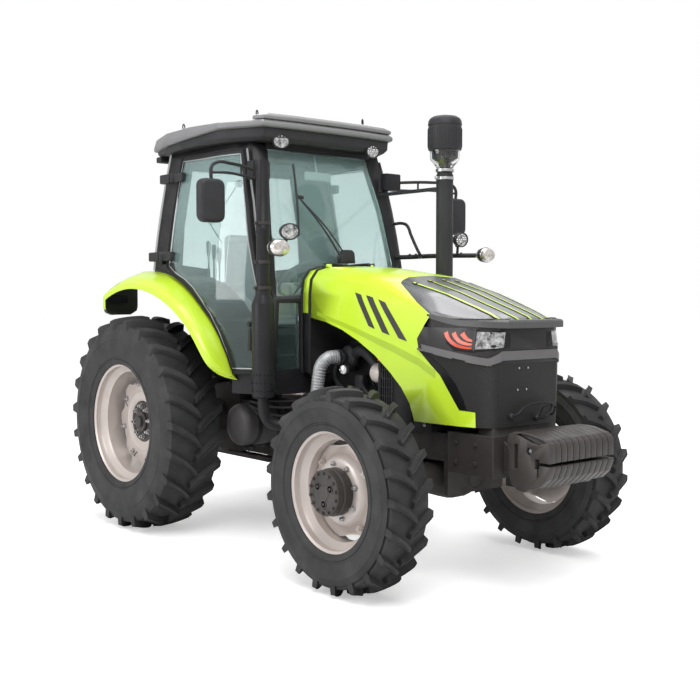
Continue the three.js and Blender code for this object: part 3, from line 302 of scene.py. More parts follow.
def buildGlass(name, tint):
    materials[name], tree, principled = blankMaterial(name, {
        "Base Color": (*tint, 1), "Roughness": 0.02, "IOR": 1.45, "Transmission Weight": 1})
    clear = addNode(tree, "ShaderNodeBsdfTransparent", {"Color": (*tint, 1)})
    rays = addNode(tree, "ShaderNodeLightPath")
    mixer = addNode(tree, "ShaderNodeMixShader", {
        "Fac": rays.outputs["Is Shadow Ray"], 1: principled.outputs["BSDF"], 2: clear.outputs["BSDF"]})
    share = 0.0
    if name == "tintedGlass":
        place = addNode(tree, "ShaderNodeTexCoord").outputs["Object"]
        height = addNode(tree, "ShaderNodeSeparateXYZ", {0: place}).outputs["Z"]
        (low, least), (high, most) = glassPaintedSheen["low"], glassPaintedSheen["high"]
        share = mapRange(tree, height, low, high, least, most)
    # a pale diffuse layer that grows with height over the tinted panes: painted sheen
    pale = addNode(tree, "ShaderNodeBsdfDiffuse", {"Color": glassPaintedSheen["colour"]})
    sheenMixed = addNode(tree, "ShaderNodeMixShader", {"Fac": share, 1: mixer.outputs["Shader"],
                                                  2: pale.outputs["BSDF"]})
    feed(tree, tree.nodes["Material Output"].inputs["Surface"], sheenMixed.outputs["Shader"])


for name, values in finishes.items():
    buildFinish(name, *values)
# pitches are radians a metre: 700 puts the holes 9 mm apart
buildMesh("fineMesh", 700, (0.026, 0.024, 0.023, 1), (0.009, 0.009, 0.009, 1), 0.5, 0.45)
buildMesh("seatFabric", 2400, (0.250, 0.270, 0.262, 1), (0.170, 0.186, 0.180, 1), 0.25, 0.85)
for name, tint in glassTint.items():
    buildGlass(name, tint)
print("stage: finishes")


def gather(parts):  # several bmeshes as one
    whole = bmesh.new()
    spare = bpy.data.meshes.new("spare")
    for part in parts:
        part.to_mesh(spare)
        part.free()
        whole.from_mesh(spare)
    bpy.data.meshes.remove(spare)
    return whole


def turnTo(base, axis):  # places a shape made on +Z at base, along axis
    return Matrix.Translation(Vector(base)) @ Vector(axis).to_track_quat("Z", "Y").to_matrix().to_4x4()


def lathe(profile, base, axis, steps=64, closed=False):  # profile is (radius, height) pairs
    bm = bmesh.new()
    row = [bm.verts.new((r, 0, h)) for r, h in profile]
    for a, b in zip(row, row[1:]):
        bm.edges.new((a, b))
    if closed:
        bm.edges.new((row[-1], row[0]))
    bmesh.ops.spin(bm, geom=bm.verts[:] + bm.edges[:], cent=(0, 0, 0), axis=(0, 0, 1), angle=math.tau,
                   steps=steps, use_merge=True)
    bmesh.ops.remove_doubles(bm, verts=bm.verts, dist=1e-5)
    bmesh.ops.transform(bm, matrix=turnTo(base, axis), verts=bm.verts)
    bmesh.ops.recalc_face_normals(bm, faces=bm.faces)
    return bm


def rod(a, b, radius, sides=16, end=None):
    bm = bmesh.new()
    way = Vector(b) - Vector(a)
    bmesh.ops.create_cone(bm, cap_ends=True, segments=sides, radius1=radius,
                          radius2=radius if end is None else end, depth=way.length)
    bmesh.ops.transform(bm, matrix=turnTo((Vector(a) + Vector(b)) / 2, way), verts=bm.verts)
    return bm


def roundEdges(bm, width, segments=2, angle=30):
    sharp = [e for e in bm.edges if len(e.link_faces) == 2 and e.calc_face_angle(0) > math.radians(angle)]
    bmesh.ops.bevel(bm, geom=sharp, offset=width, affect="EDGES", segments=segments, profile=0.5, material=-1,
                    clamp_overlap=True)
    return bm


def block(low, high, edge=0.004, segments=2):
    bm = bmesh.new()
    bmesh.ops.create_cube(bm, size=1)
    low, high = Vector(low), Vector(high)
    bmesh.ops.scale(bm, vec=high - low, verts=bm.verts)
    bmesh.ops.translate(bm, vec=(low + high) / 2, verts=bm.verts)
    return roundEdges(bm, edge, segments) if edge else bm


def prism(outline, depth, edge=0.0, segments=2):  # a flat outline of places pulled along the vector depth
    bm = bmesh.new()
    face = bm.faces.new([bm.verts.new(p) for p in outline])
    pulled = bmesh.ops.extrude_face_region(bm, geom=[face])
    bmesh.ops.translate(bm, vec=depth, verts=[v for v in pulled["geom"] if isinstance(v, bmesh.types.BMVert)])
    bmesh.ops.recalc_face_normals(bm, faces=bm.faces)
    return roundEdges(bm, edge, segments) if edge else bm


def shellOf(rings):  # a closed body through rings that have the same number of points
    bm = bmesh.new()
    rows = [[bm.verts.new(p) for p in ring] for ring in rings]
    for a, b in zip(rows, rows[1:]):
        for i in range(len(a)):
            bm.faces.new([a[i], a[(i + 1) % len(a)], b[(i + 1) % len(a)], b[i]])
    bm.faces.new(rows[0])
    bm.faces.new(rows[-1])
    bmesh.ops.recalc_face_normals(bm, faces=bm.faces)
    return bm


def sweep(points, radius, sides=3, smooth=True, closed=False):  # a round bar or hose through the points
    curve = bpy.data.curves.new("way", "CURVE")
    curve.dimensions = "3D"
    curve.bevel_depth = radius
    curve.bevel_resolution = sides
    curve.use_fill_caps = True
    curve.resolution_u = 6
    spline = curve.splines.new("BEZIER" if smooth else "POLY")
    if smooth:
        spline.bezier_points.add(len(points) - 1)
        for place, point in zip(spline.bezier_points, points):
            place.co = point
            place.handle_left_type = place.handle_right_type = "AUTO"
    else:
        spline.points.add(len(points) - 1)
        for place, point in zip(spline.points, points):
            place.co = (*point, 1)
    spline.use_cyclic_u = closed
    obj = bpy.data.objects.new("way", curve)
    mesh = bpy.data.meshes.new_from_object(obj)
    bm = bmesh.new()
    bm.from_mesh(mesh)
    bpy.data.objects.remove(obj)
    bpy.data.curves.remove(curve)
    bpy.data.meshes.remove(mesh)
    bmesh.ops.remove_doubles(bm, verts=bm.verts, dist=1e-6)
    return bm


def ringOf(count, radius, base, axis, make, start=0.0):  # make(place) for each place round a circle
    turn = turnTo(base, axis)
    spots = []
    for i in range(count):
        angle = start + math.tau * i / count
        spots.append(make(turn @ Vector((radius * math.cos(angle), radius * math.sin(angle), 0))))
    return spots


def nut(place, axis, across=0.012, height=0.012, stud=0.5,
        studReach=0.008):  # a hexagon nut, its washer and its stud
    way = Vector(axis).normalized()
    place = Vector(place)
    washer = rod(place, place + way * 0.003, across * 1.25, 20)
    hexagon = roundEdges(rod(place + way * 0.003, place + way * (0.003 + height), across, 6), across * 0.12, 1,
                         40)
    parts = [washer, hexagon]
    if studReach:
        parts.append(rod(place + way * height, place + way * (0.003 + height + studReach), across * stud, 12))
    return gather(parts)


def toPiece(bm, name, finish, body, smooth=35, replaced=(), edge=0.0):
    mesh = bpy.data.meshes.new(name)
    bm.to_mesh(mesh)
    bm.free()
    mesh.shade_smooth()
    mesh.set_sharp_from_angle(angle=math.radians(smooth))
    mesh.materials.append(materials[finish])
    obj = bpy.data.objects.new(name, mesh)
    scene.collection.objects.link(obj)
    if edge:
        rounded = obj.modifiers.new("edge", "BEVEL")
        rounded.width = edge
        rounded.segments = 2
        rounded.limit_method = "ANGLE"
        rounded.angle_limit = math.radians(smooth)
    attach(obj, body)
    if replaced:
        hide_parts(*replaced)
    return obj


def mergedCopy(node):
    bm = bmesh.new()
    bm.from_mesh(nodes[node].data)
    bmesh.ops.remove_doubles(bm, verts=bm.verts, dist=2e-5)
    return bm


def skinNode(node, finish, smooth=35, edge=0.0):  # a CAD node's own shape, shaded as the smooth part it is
    return toPiece(mergedCopy(node), node + "Skin", finish, nodes[node]["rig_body"], smooth, (node,), edge)


def dressNode(node, finish):
    for place in nodes[node].material_slots:
        place.link = "OBJECT"
        place.material = materials[finish]

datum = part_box("front_tyre_left")[1].z / 2 - 0.540  # the frame's datum plane above the ground


rearAxle = {"y": 1.125, "z": 0.715}


def at(x, y, z):  # a place whose height is measured from the datum plane
    return Vector((x, y, z + datum))


def spots(points, out=1):  # places from (x, y, z) triples, on one side of the machine
    return [at(out * x, y, z) for x, y, z in points]


def upright(out, points, x=0.6):  # places from (y, z) pairs in a plane beside the machine
    return [at(out * x, y, z) for y, z in points]


def around(count):  # level directions round an upright post
    return [Vector((math.cos(math.tau * i / count), math.sin(math.tau * i / count), 0)) for i in range(count)]


def hose(points, radius, sides=3, out=1):
    return sweep(spots(points, out), radius, sides)


def surfaceOf(*names):
    return BVHTree.FromBMesh(gather([mergedCopy(name) for name in names]))


# presses a flat shape along way onto a surface, height proud of it
def layOn(surface, bm, way, height, thickness):
    way = Vector(way).normalized()
    lost = []
    for v in bm.verts:
        hit, _, _, _ = surface.ray_cast(v.co - way * 0.6, way)
        if hit is None:
            lost.append(v)
        else:
            v.co = hit - way * height
    bmesh.ops.delete(bm, geom=lost, context="VERTS")
    bmesh.ops.recalc_face_normals(bm, faces=bm.faces)
    if bm.faces and sum((f.normal.dot(way) for f in bm.faces)) > 0:
        bmesh.ops.reverse_faces(bm, faces=bm.faces)
    bmesh.ops.solidify(bm, geom=bm.faces[:], thickness=thickness)
    return bm


def patch(corners, cuts=6):  # a flat patch cut fine enough to bend; four corners give a grid
    bm = bmesh.new()
    bm.faces.new([bm.verts.new(p) for p in corners])
    if len(corners) == 4:
        bmesh.ops.subdivide_edges(bm, edges=bm.edges, cuts=cuts, use_grid_fill=True)
    else:
        bmesh.ops.triangulate(bm, faces=bm.faces)
        for _ in range(2):
            bmesh.ops.subdivide_edges(bm, edges=[e for e in bm.edges if e.calc_length() > 0.03], cuts=2,
                                      use_grid_fill=True)
        bmesh.ops.triangulate(bm, faces=bm.faces)
    return bm


def ribbon(path, width, across):  # a flat strip along a line of points, across gives its width direction
    bm = bmesh.new()
    bmesh.ops.create_grid(bm, x_segments=len(path) - 1, y_segments=1, size=0.5)
    for v in bm.verts:
        i = round((v.co.x + 0.5) * (len(path) - 1))
        before, after = Vector(path[max(i - 1, 0)]), Vector(path[min(i + 1, len(path) - 1)])
        side = (after - before).normalized().cross(Vector(across)).normalized()
        wide = width[0] + (width[1] - width[0]) * (v.co.x + 0.5) if isinstance(width, tuple) else width
        v.co = Vector(path[i]) + side * (v.co.y * wide)
    return bm


def bent(a, b, c, count=12):  # points on a curve from a to c that is pulled towards b
    a, b, c = Vector(a), Vector(b), Vector(c)
    return [a * (1 - t) ** 2 + b * (2 * t * (1 - t)) + c * t * t for t in (i / count for i in range(count + 1))]


def line(a, b, count=12):
    return [Vector(a).lerp(Vector(b), i / count) for i in range(count + 1)]


def carve(bm, cutters):  # cuts solids out of a solid
    def holder(shape):
        mesh = bpy.data.meshes.new("spare")
        shape.to_mesh(mesh)
        shape.free()
        obj = bpy.data.objects.new("spare", mesh)
        scene.collection.objects.link(obj)
        return obj
    base, tool = holder(bm), holder(gather(cutters))
    cut = base.modifiers.new("cut", "BOOLEAN")
    cut.object = tool
    cut.operation = "DIFFERENCE"
    cut.solver = "EXACT"
    cut.use_self = True
    bpy.context.view_layer.update()
    result = bmesh.new()
    result.from_mesh(base.evaluated_get(bpy.context.evaluated_depsgraph_get()).to_mesh())
    bpy.data.objects.remove(base)
    bpy.data.objects.remove(tool)
    return result


def sectionLoop(node, y):  # a CAD node's outline at one place along the machine, from right foot to left
    bm = mergedCopy(node)
    cutLine = bmesh.ops.bisect_plane(bm, geom=bm.verts[:] + bm.edges[:] + bm.faces[:], plane_co=(0, y, 0),
                                     plane_no=(0, 1, 0), clear_inner=True, clear_outer=True)
    places = [v.co.copy() for v in cutLine["geom_cut"] if isinstance(v, bmesh.types.BMVert)]
    bm.free()
    return sorted(places, key=lambda p: math.atan2(p.x, p.z - 1.0))


def along(points, step=0.05):  # extra points between the corners of an outline
    whole = []
    for a, b in zip(points, points[1:]):
        count = max(1, round((Vector(b) - Vector(a)).length / step))
        whole += [tuple(Vector(a).lerp(Vector(b), i / count)) for i in range(count)]
    return whole + [points[-1]]


# CAD nodes that are shown as they are
shownFinish = {
    "windscreen": "tintedGlass", "quarter_glass_left": "tintedGlass", "quarter_glass_right": "tintedGlass",
    "rear_window": "tintedGlass", "door_left": "blackPaint", "door_right": "blackPaint",
    "door_glass_left": "tintedGlass", "door_glass_right": "tintedGlass",
}
for node, finish in shownFinish.items():
    dressNode(node, finish)
print("stage: CAD nodes dressed")


# wheels
tyres = {
    "front": {"lugs": 21, "lugHeight": 0.034, "topWidth": (0.026, 0.034), "foot": 0.011, "sweep": 0.105,
              "shoulderDrop": 0.020, "endDrop": 0.085, "ring": 0.464},
    "rear": {"lugs": 23, "lugHeight": 0.040, "topWidth": (0.034, 0.044), "foot": 0.014, "sweep": 0.150,
             "shoulderDrop": 0.026, "endDrop": 0.105, "ring": 0.590},
}
sides = (("left", 1), ("right", -1))


def wheelFacts(which, side):
    low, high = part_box(f"{which}_tyre_{side}")
    centre = (low + high) / 2
    return {"centre": centre, "radius": (high.z - low.z) / 2, "half": (high.x - low.x) / 2}


def tyreCarcass(size, facts, rimRadius, beadHalf):
    radius, half = facts["radius"], facts["half"]
    base = radius - size["lugHeight"]
    tread = half * 0.86
    ring = size["ring"]
    wall = [
        (rimRadius - 0.018, beadHalf - 0.004), (rimRadius + 0.004, beadHalf + 0.004),
        (rimRadius + 0.016, beadHalf + 0.006), (rimRadius + 0.020, beadHalf + 0.002),
        (rimRadius + 0.028, beadHalf + 0.004), (rimRadius + 0.034, beadHalf + 0.012),
        ((rimRadius + ring) / 2, half - 0.008), (ring - 0.012, half - 0.002), (ring - 0.004, half - 0.001),
        (ring, half + 0.002), (ring + 0.004, half - 0.001), (ring + 0.020, half - 0.003),
        ((ring + base) / 2, half - 0.010), (base - 0.040, half - 0.020), (base - 0.016, tread),
        (base - 0.006, tread * 0.72), (base, tread * 0.3),
    ]
    profile = wall + [(base + 0.001, 0)] + [(r, -x) for r, x in reversed(wall)]
    return lathe(profile, facts["centre"], (1, 0, 0), steps=96, closed=True)


def makeTyre(which, side, facts, body):
    rim = rims[which]
    tyre = gather([tyreCarcass(tyres[which], facts, rim["flange"], rim["half"]), tyreLugs(tyres[which], facts)])
    toPiece(tyre, f"{which}Tyre{side.title()}", "tyreRubber", body, 38, (f"{which}_tyre_{side}",))


def wayFrom(degrees, out):  # the direction at an angle round a wheel, from straight ahead over the top
    turn = math.radians(degrees)
    return Vector((0, -out * math.cos(turn), math.sin(turn)))


def tyreLugs(size, facts):
    radius, half = facts["radius"], facts["half"]
    base = radius - size["lugHeight"]
    inner, outer = -0.012, half * 0.93
    lug = bmesh.new()
    bmesh.ops.create_cube(lug, size=1)
    along = [e for e in lug.edges if abs(e.verts[0].co.x - e.verts[1].co.x) > 0.5]
    bmesh.ops.subdivide_edges(lug, edges=along, cuts=7, use_grid_fill=False)
    tops = [e for e in lug.edges if all(v.co.z > 0.49 for v in e.verts)
            and (all(abs(v.co.y) > 0.49 for v in e.verts) and e.verts[0].co.y * e.verts[1].co.y > 0
                 or all(abs(v.co.x) > 0.49 for v in e.verts))]
    for v in lug.verts:
        share, across, up = v.co.x + 0.5, v.co.y * 2, v.co.z + 0.5
        x = inner + (outer - inner) * share
        topWidth = size["topWidth"][0] + (size["topWidth"][1] - size["topWidth"][0]) * share
        arc = size["sweep"] * (1.4 * share - 0.4 * share * share)
        crown = radius - size["shoulderDrop"] * (max(x, 0) / half) ** 2
        low = base - 0.010 - 0.012 * share
        if share > 0.99:
            low, x = (radius - size["endDrop"], half - 0.012) if up < 0.5 else (low, x)
        r = crown if up > 0.5 else low
        wide = topWidth / 2 + (size["foot"] if up < 0.5 else 0)
        angle = (arc + across * wide) / radius
        v.co = (x, -r * math.cos(angle), r * math.sin(angle))
    bmesh.ops.bevel(lug, geom=tops, offset=0.005, affect="EDGES", segments=2, profile=0.5, material=-1)
    step = math.tau / size["lugs"]
    whole = bmesh.new()
    mesh = bpy.data.meshes.new("spare")
    for turn, sign in ((0, 1), (0.5, -1)):
        for i in range(size["lugs"]):
            copy = lug.copy()
            bmesh.ops.rotate(copy, cent=(0, 0, 0), matrix=Matrix.Rotation(-(i + turn) * step, 3, "X"),
                             verts=copy.verts)
            if sign < 0:
                bmesh.ops.scale(copy, vec=(-1, 1, 1), verts=copy.verts)
            copy.to_mesh(mesh)
            copy.free()
            whole.from_mesh(mesh)
    bpy.data.meshes.remove(mesh)
    lug.free()
    bmesh.ops.translate(whole, vec=facts["centre"], verts=whole.verts)
    bmesh.ops.recalc_face_normals(whole, faces=whole.faces)
    return whole


rims = {
    "front": {"flange": 0.350, "half": 0.131, "nuts": 8, "nutRing": 0.152},
    "rear": {"flange": 0.427, "half": 0.1925, "plate": -0.005, "nuts": 8, "nutRing": 0.108},
}


def rimBarrel(size, centre, out):
    flange, half = size["flange"], size["half"]
    bead, well = flange - 0.022, flange - 0.062
    outside = [
        (flange, half), (flange + 0.002, half - 0.006), (flange - 0.004, half - 0.014),
        (bead, half - 0.018), (bead, half - 0.052), (bead - 0.006, half - 0.060), (well, half - 0.088),
        (well, 0.088 - half), (bead - 0.006, 0.060 - half), (bead, 0.052 - half), (bead, 0.018 - half),
        (flange - 0.004, 0.014 - half), (flange + 0.002, 0.006 - half), (flange, -half),
    ]
    inside = [
        (flange - 0.007, -half), (bead - 0.009, 0.022 - half), (bead - 0.009, 0.056 - half),
        (well - 0.008, 0.092 - half), (well - 0.008, half - 0.092), (bead - 0.014, half - 0.063),
        (bead - 0.009, half - 0.054), (bead - 0.009, half - 0.022), (flange - 0.007, half - 0.004),
    ]
    return lathe(outside + inside, centre, (out, 0, 0), steps=96, closed=True)


def frontPlate(size, centre, out):  # a dished plate, its rim cut back between four welded ears
    well = size["flange"] - 0.072
    bm = lathe([
        (0.110, 0.052), (0.150, 0.052), (0.168, 0.050), (0.186, 0.040), (0.200, 0.018), (0.214, 0.000),
        (0.236, -0.010), (well - 0.010, -0.014), (well - 0.002, -0.014),
    ], centre, (out, 0, 0), steps=96)
    for v in bm.verts:
        local = v.co - centre
        radius = math.hypot(local.y, local.z)
        if radius > well - 0.02:
            angle = math.atan2(local.z, local.y * -out)
            bite = max(0.0, math.cos(4 * (angle - math.radians(80)))) ** 0.8
            shrink = (radius - 0.030 * bite) / radius
            v.co = centre + Vector((local.x, local.y * shrink, local.z * shrink))
    bmesh.ops.solidify(bm, geom=bm.faces[:], thickness=0.010)
    return bm


def frontHub(centre, out):
    face = 0.156
    cap = lathe([
        (0.0, face), (0.038, face), (0.044, face - 0.004), (0.086, face - 0.004), (0.090, face - 0.001),
        (0.120, face - 0.001), (0.125, face - 0.006), (0.125, face - 0.046), (0.131, face - 0.050),
        (0.131, 0.060), (0.128, 0.052), (0.0, 0.052),
    ], centre, (out, 0, 0), steps=72)
    way = Vector((out, 0, 0))
    top = centre + way * (face - 0.001)
    bolts = ringOf(14, 0.108, top, way, lambda place: nut(place, way, 0.0085, 0.008, 0.5, 0), 0.2)
    rings = []
    for turn in (0.5, 2.6, 4.7):
        place = turnTo(top, way) @ Vector((0.060 * math.cos(turn), 0.060 * math.sin(turn), -0.004))
        rings.append(lathe([(0.024, 0), (0.024, 0.004), (0.018, 0.004), (0.018, 0.001), (0.008, 0.001),
                            (0.008, 0.005), (0.0, 0.005)], place, way, 28))
    return gather([cap, *bolts, *rings])


def makeFrontWheel(side, out):
    size, facts = rims["front"], wheelFacts("front", side)
    body, centre = f"front_wheel_{side}", facts["centre"]
    way = Vector((out, 0, 0))
    makeTyre("front", side, facts, body)
    ears = []
    for degrees in (125, 235, 35, 325):
        foot = centre + wayFrom(degrees, out) * 0.232 + way * -0.004
        ears.append(rod(foot, foot + way * 0.020, 0.016, 20))
        ears.append(nut(foot + way * 0.018, way, 0.011, 0.010, 0.5, 0.006))
    clamp = centre + wayFrom(152, out) * 0.262
    ears.append(rod(clamp - way * 0.01, clamp + way * 0.062, 0.022, 24))
    toPiece(gather([rimBarrel(size, centre, out), frontPlate(size, centre, out), *ears]),
            f"frontRim{side.title()}", "rimSilver", body, 32, (f"front_rim_{side}",))
    toPiece(frontHub(centre, out), f"frontHub{side.title()}", "castBrown", body, 30)
    nuts = ringOf(size["nuts"], size["nutRing"], centre + way * 0.0535, way,
                  lambda place: nut(place, way, 0.013, 0.014, 0.55, 0.010), 0.25)
    nuts.append(nut(clamp + way * 0.062, way, 0.012, 0.010, 0.5, 0.006))
    toPiece(gather(nuts), f"frontWheelNuts{side.title()}", "brightSteel", body, 30)
    inner = lathe([(0.0, -0.036), (0.096, -0.036), (0.104, -0.020), (0.104, 0.035), (0.0, 0.035)], centre, way,
                  48)
    toPiece(inner, f"frontWheelDrum{side.title()}", "castDark", body, 30)


def rearPlate(centre, out, place):  # a thick plate with a lobed edge, bolted to lugs on the barrel
    outline = []
    for i in range(96):
        angle = math.tau * i / 96
        radius = 0.300 + 0.022 * max(-0.6, min(1, 1.6 * math.cos(8 * angle)))
        outline.append(Vector((place, radius * math.cos(angle), radius * math.sin(angle))))
    outline = [centre + Vector((p.x * out, p.y, p.z)) for p in outline]
    return prism(outline, Vector((out * 0.014, 0, 0)), 0.003, 2)


def makeRearWheel(side, out):
    size, facts = rims["rear"], wheelFacts("rear", side)
    body, centre = f"rear_wheel_{side}", facts["centre"]
    way = Vector((out, 0, 0))
    makeTyre("rear", side, facts, body)
    place = size["plate"]
    brackets = []
    for i in range(8):
        turn = math.tau * i / 8
        outward = Vector((0, math.cos(turn), math.sin(turn)))
        foot = centre + outward * 0.306 + way * (place - 0.03)
        brackets.append(rod(foot, foot + way * 0.030, 0.030, 20))
    dish = lathe([(0.150, 0.016), (0.190, 0.016), (0.206, 0.022), (0.222, 0.016), (0.240, 0.016)],
                 centre + way * place, way, 72)
    bmesh.ops.solidify(dish, geom=dish.faces[:], thickness=0.004)
    toPiece(gather([rimBarrel(size, centre, out), rearPlate(centre, out, place), dish, *brackets]),
            f"rearRim{side.title()}", "rimSilver", body, 32, (f"rear_rim_{side}",))
    hub = lathe([(0.0, 0.060), (0.034, 0.060), (0.040, 0.054), (0.040, 0.040), (0.070, 0.040), (0.074, 0.034),
                 (0.074, 0.020), (0.140, 0.020), (0.146, 0.014), (0.146, -0.03), (0.0, -0.03)],
                centre + way * place, way, 64)
    toPiece(hub, f"rearHub{side.title()}", "castBrown", body, 30)
    slits = []
    for degrees in (118, 208, 298, 28):
        outward = wayFrom(degrees, out)
        across = way.cross(outward)
        a, b = centre + outward * 0.300, centre + outward * 0.215 + across * 0.040
        lift = way * (place + 0.0142)
        wide = (b - a).normalized().cross(way) * 0.004
        slits.append(prism([a - wide + lift, a + wide + lift, b + wide + lift, b - wide + lift], way * 0.001))
    toPiece(gather(slits), f"rearPlateSlits{side.title()}", "blackPaint", body, 30)
    face = centre + way * (place + 0.014)
    nuts = ringOf(8, 0.268, face, way, lambda spot: nut(spot, way, 0.016, 0.014, 0.55, 0.012), 0.22)
    nuts += ringOf(size["nuts"], size["nutRing"], face + way * 0.006, way,
                   lambda spot: nut(spot, way, 0.015, 0.016, 0.55, 0.012), 0.1)
    toPiece(gather(nuts), f"rearWheelNuts{side.title()}", "brightSteel", body, 30)
    inner = lathe([(0.0, -0.15), (0.120, -0.15), (0.135, -0.10), (0.135, -0.012), (0.0, -0.012)],
                  centre + way * place, way, 48)
    toPiece(inner, f"rearWheelDrum{side.title()}", "castDark", body, 30)


for side, out in sides:
    makeFrontWheel(side, out)
    makeRearWheel(side, out)
print("stage: wheels")

# hood and nose
hoodLooks = {
    "stripes": [(0.240, 0.198), (0.114, 0.100), (0.0, 0.0), (-0.114, -0.100), (-0.240, -0.198)],
    # x behind and ahead
    "stripeEnds": (-1.03, -1.722), "limeWidth": 0.011, "grooveWidth": 0.012, "grooveShift": 0.0115,
    "dashes": ((-0.02, -0.034), (0.012, -0.002)), "dashShift": -0.008, "dashWidth": 0.034,
    "bars": [  # (y, z) corners
        [(-0.624, 1.623), (-0.682, 1.609), (-0.821, 1.405), (-0.763, 1.421)],
        [(-0.731, 1.606), (-0.793, 1.593), (-0.957, 1.372), (-0.890, 1.388)],
        [(-0.845, 1.582), (-0.910, 1.563), (-1.108, 1.341), (-1.036, 1.357)],
    ],
    "fold": [  # upper and lower edge of a darker lime band, painted shade along the hood's crease, (y, z)
        [(-0.240, 1.501), (-0.538, 1.433), (-0.771, 1.372), (-0.993, 1.315), (-1.203, 1.250), (-1.363, 1.172)],
        [(-0.240, 1.478), (-0.538, 1.405), (-0.771, 1.337), (-0.993, 1.272), (-1.203, 1.206), (-1.363, 1.128)],
    ],
}
noseLooks = {
    "chinSide": [(-1.192, 1.336), (-1.684, 1.262), (-1.684, 1.222), (-1.206, 1.296)],
    "chinStep": [(0.300, -2.0, 1.262), (0.223, -2.0, 1.302), (0.223, -2.0, 1.252), (0.300, -2.0, 1.222)],
    "chinFront": [(-0.224, -2.0, 1.302), (0.224, -2.0, 1.302), (0.224, -2.0, 1.252), (-0.224, -2.0, 1.252)],
    "arc": [(-1.209, 1.292), (-1.290, 1.236), (-1.378, 1.158), (-1.445, 1.062), (-1.506, 0.976),
            (-1.548, 0.974),
            (-1.528, 1.040), (-1.480, 1.120), (-1.400, 1.200), (-1.300, 1.262)],
    "plateBolts": [(-0.078, 1.205), (-0.005, 1.205), (-0.090, 1.087), (-0.018, 1.086)],
    "handle": [(-0.150, -1.716, 0.946), (-0.135, -1.738, 0.955), (-0.078, -1.748, 0.998),
               (-0.040, -1.748, 1.006),
               (0.120, -1.748, 1.004), (0.150, -1.746, 0.996), (0.148, -1.744, 0.975), (0.112, -1.738, 0.930),
               (0.090, -1.732, 0.922), (0.062, -1.716, 0.924)],
    "bossY": -1.712,
    # the cover's rim from its side to the middle: x, y, height of its top and of its underside
    "rim": [(0.357, -1.262, 1.509, 1.484), (0.357, -1.300, 1.503, 1.472), (0.350, -1.390, 1.488, 1.452),
            (0.341, -1.480, 1.478, 1.438), (0.312, -1.620, 1.473, 1.432), (0.292, -1.668, 1.472, 1.430),
            (0.264, -1.716, 1.471, 1.428), (0.228, -1.758, 1.470, 1.427), (0.110, -1.766, 1.470, 1.426),
            (0.0, -1.768, 1.470, 1.426)],
    "rimReach": 0.034,
    "brow": [(0.345, -1.250), (0.352, -1.290), (0.346, -1.400), (0.336, -1.500), (0.310, -1.610),
             (0.276, -1.668),
             (0.228, -1.692)],
    "browHeights": (1.385, 1.478), "browThick": 0.004,
}
down, rearward, up = Vector((0, 0, -1)), Vector((0, 1, 0)), Vector((0, 0, 1))


def makeCoverLines():  # lime lines with a dark strip beside each as painted shade of the groove there, and a dash at both ends
    cover = surfaceOf("hood_cover")
    limes, grooveShades, ends = [], [], []
    rear, front = hoodLooks["stripeEnds"]
    for xRear, xFront in hoodLooks["stripes"]:
        a, b = at(xRear, rear, 1.9), at(xFront, front, 1.9)
        limes.append(layOn(cover, ribbon(line(a, b, 24), hoodLooks["limeWidth"], up), down, 0.0035, 0.003))
        shift = Vector((-hoodLooks["grooveShift"], 0, 0))
        # the groove is drawn as a dark strip laid just proud of the cover: painted shade
        groove = ribbon(line(a + shift, b + shift, 24), hoodLooks["grooveWidth"], up)
        grooveShades.append(layOn(cover, groove, down, 0.002, 0.0015))
        for place, ways in zip((a, b), hoodLooks["dashes"]):
            start, stop = (place + Vector((hoodLooks["dashShift"], way, 0)) for way in ways)
            dash = ribbon(line(start, stop, 2), hoodLooks["dashWidth"], up)
            ends.append(layOn(cover, dash, down, 0.004, 0.003))
    toPiece(gather(limes), "coverLimeLines", "limePaint", "hood", 30)
    toPiece(gather(grooveShades + ends), "coverGrooveShadeAndDashes", "rubberSealAndPaintedShade", "hood", 30)


def makeFlankMarks():
    flank = surfaceOf("hood_panel")
    for side, out in sides:
        bars = [layOn(flank, patch(upright(out, corners, 0.5)), (-out, 0, 0), 0.0025, 0.002)
                for corners in hoodLooks["bars"]]
        toPiece(gather(bars), f"hoodBars{side.title()}", "charcoalPlastic", "hood", 30)
    # a darker lime band laid along the hood's crease: painted shade of the fold
    for side, out in sides:
        fold = bmesh.new()
        upper, lower = ([fold.verts.new(p) for p in upright(out, along(row, 0.03), 0.5)]
                        for row in hoodLooks["fold"])
        for a, b, c, d in zip(upper, upper[1:], lower[1:], lower):
            fold.faces.new([a, b, c, d])
        layOn(flank, fold, (-out, 0, 0), 0.0012, 0.001)
        toPiece(fold, f"hoodFoldPaintedShade{side.title()}", "limePaintedShade", "hood", 30)


def makeNoseFace():
    nose = surfaceOf("nose_panel", "grille", "headlight_left", "headlight_right")
    chins = []
    for out in (1, -1):
        chins.append(layOn(nose, patch(upright(out, noseLooks["chinSide"]), 10), (-out, 0, 0), 0.013, 0.014))
        chins.append(layOn(nose, patch(spots(noseLooks["chinStep"], out), 4), rearward, 0.012, 0.014))
    chins.append(layOn(nose, patch(spots(noseLooks["chinFront"]), 5), rearward, 0.012, 0.014))
    chin = gather(chins)
    bmesh.ops.remove_doubles(chin, verts=chin.verts, dist=0.0008)
    toPiece(chin, "chinMoulding", "chinGrey", "hood", 30)
    for side, out in sides:
        arc = layOn(nose, patch(upright(out, noseLooks["arc"])), (-out, 0, 0), 0.003, 0.003)
        toPiece(arc, f"noseArc{side.title()}", "glossBlack", "hood", 30)
    pins = []
    for x, z in noseLooks["plateBolts"]:
        hit, normal, _, _ = nose.ray_cast(at(x, -2.2, z), rearward)
        pins.append(rod(hit, hit + normal * 0.004, 0.006, 16))
        pins.append(rod(hit + normal * 0.004, hit + normal * 0.006, 0.0045, 16, 0.002))
    toPiece(gather(pins), "platePins", "brightSteel", "hood", 30)


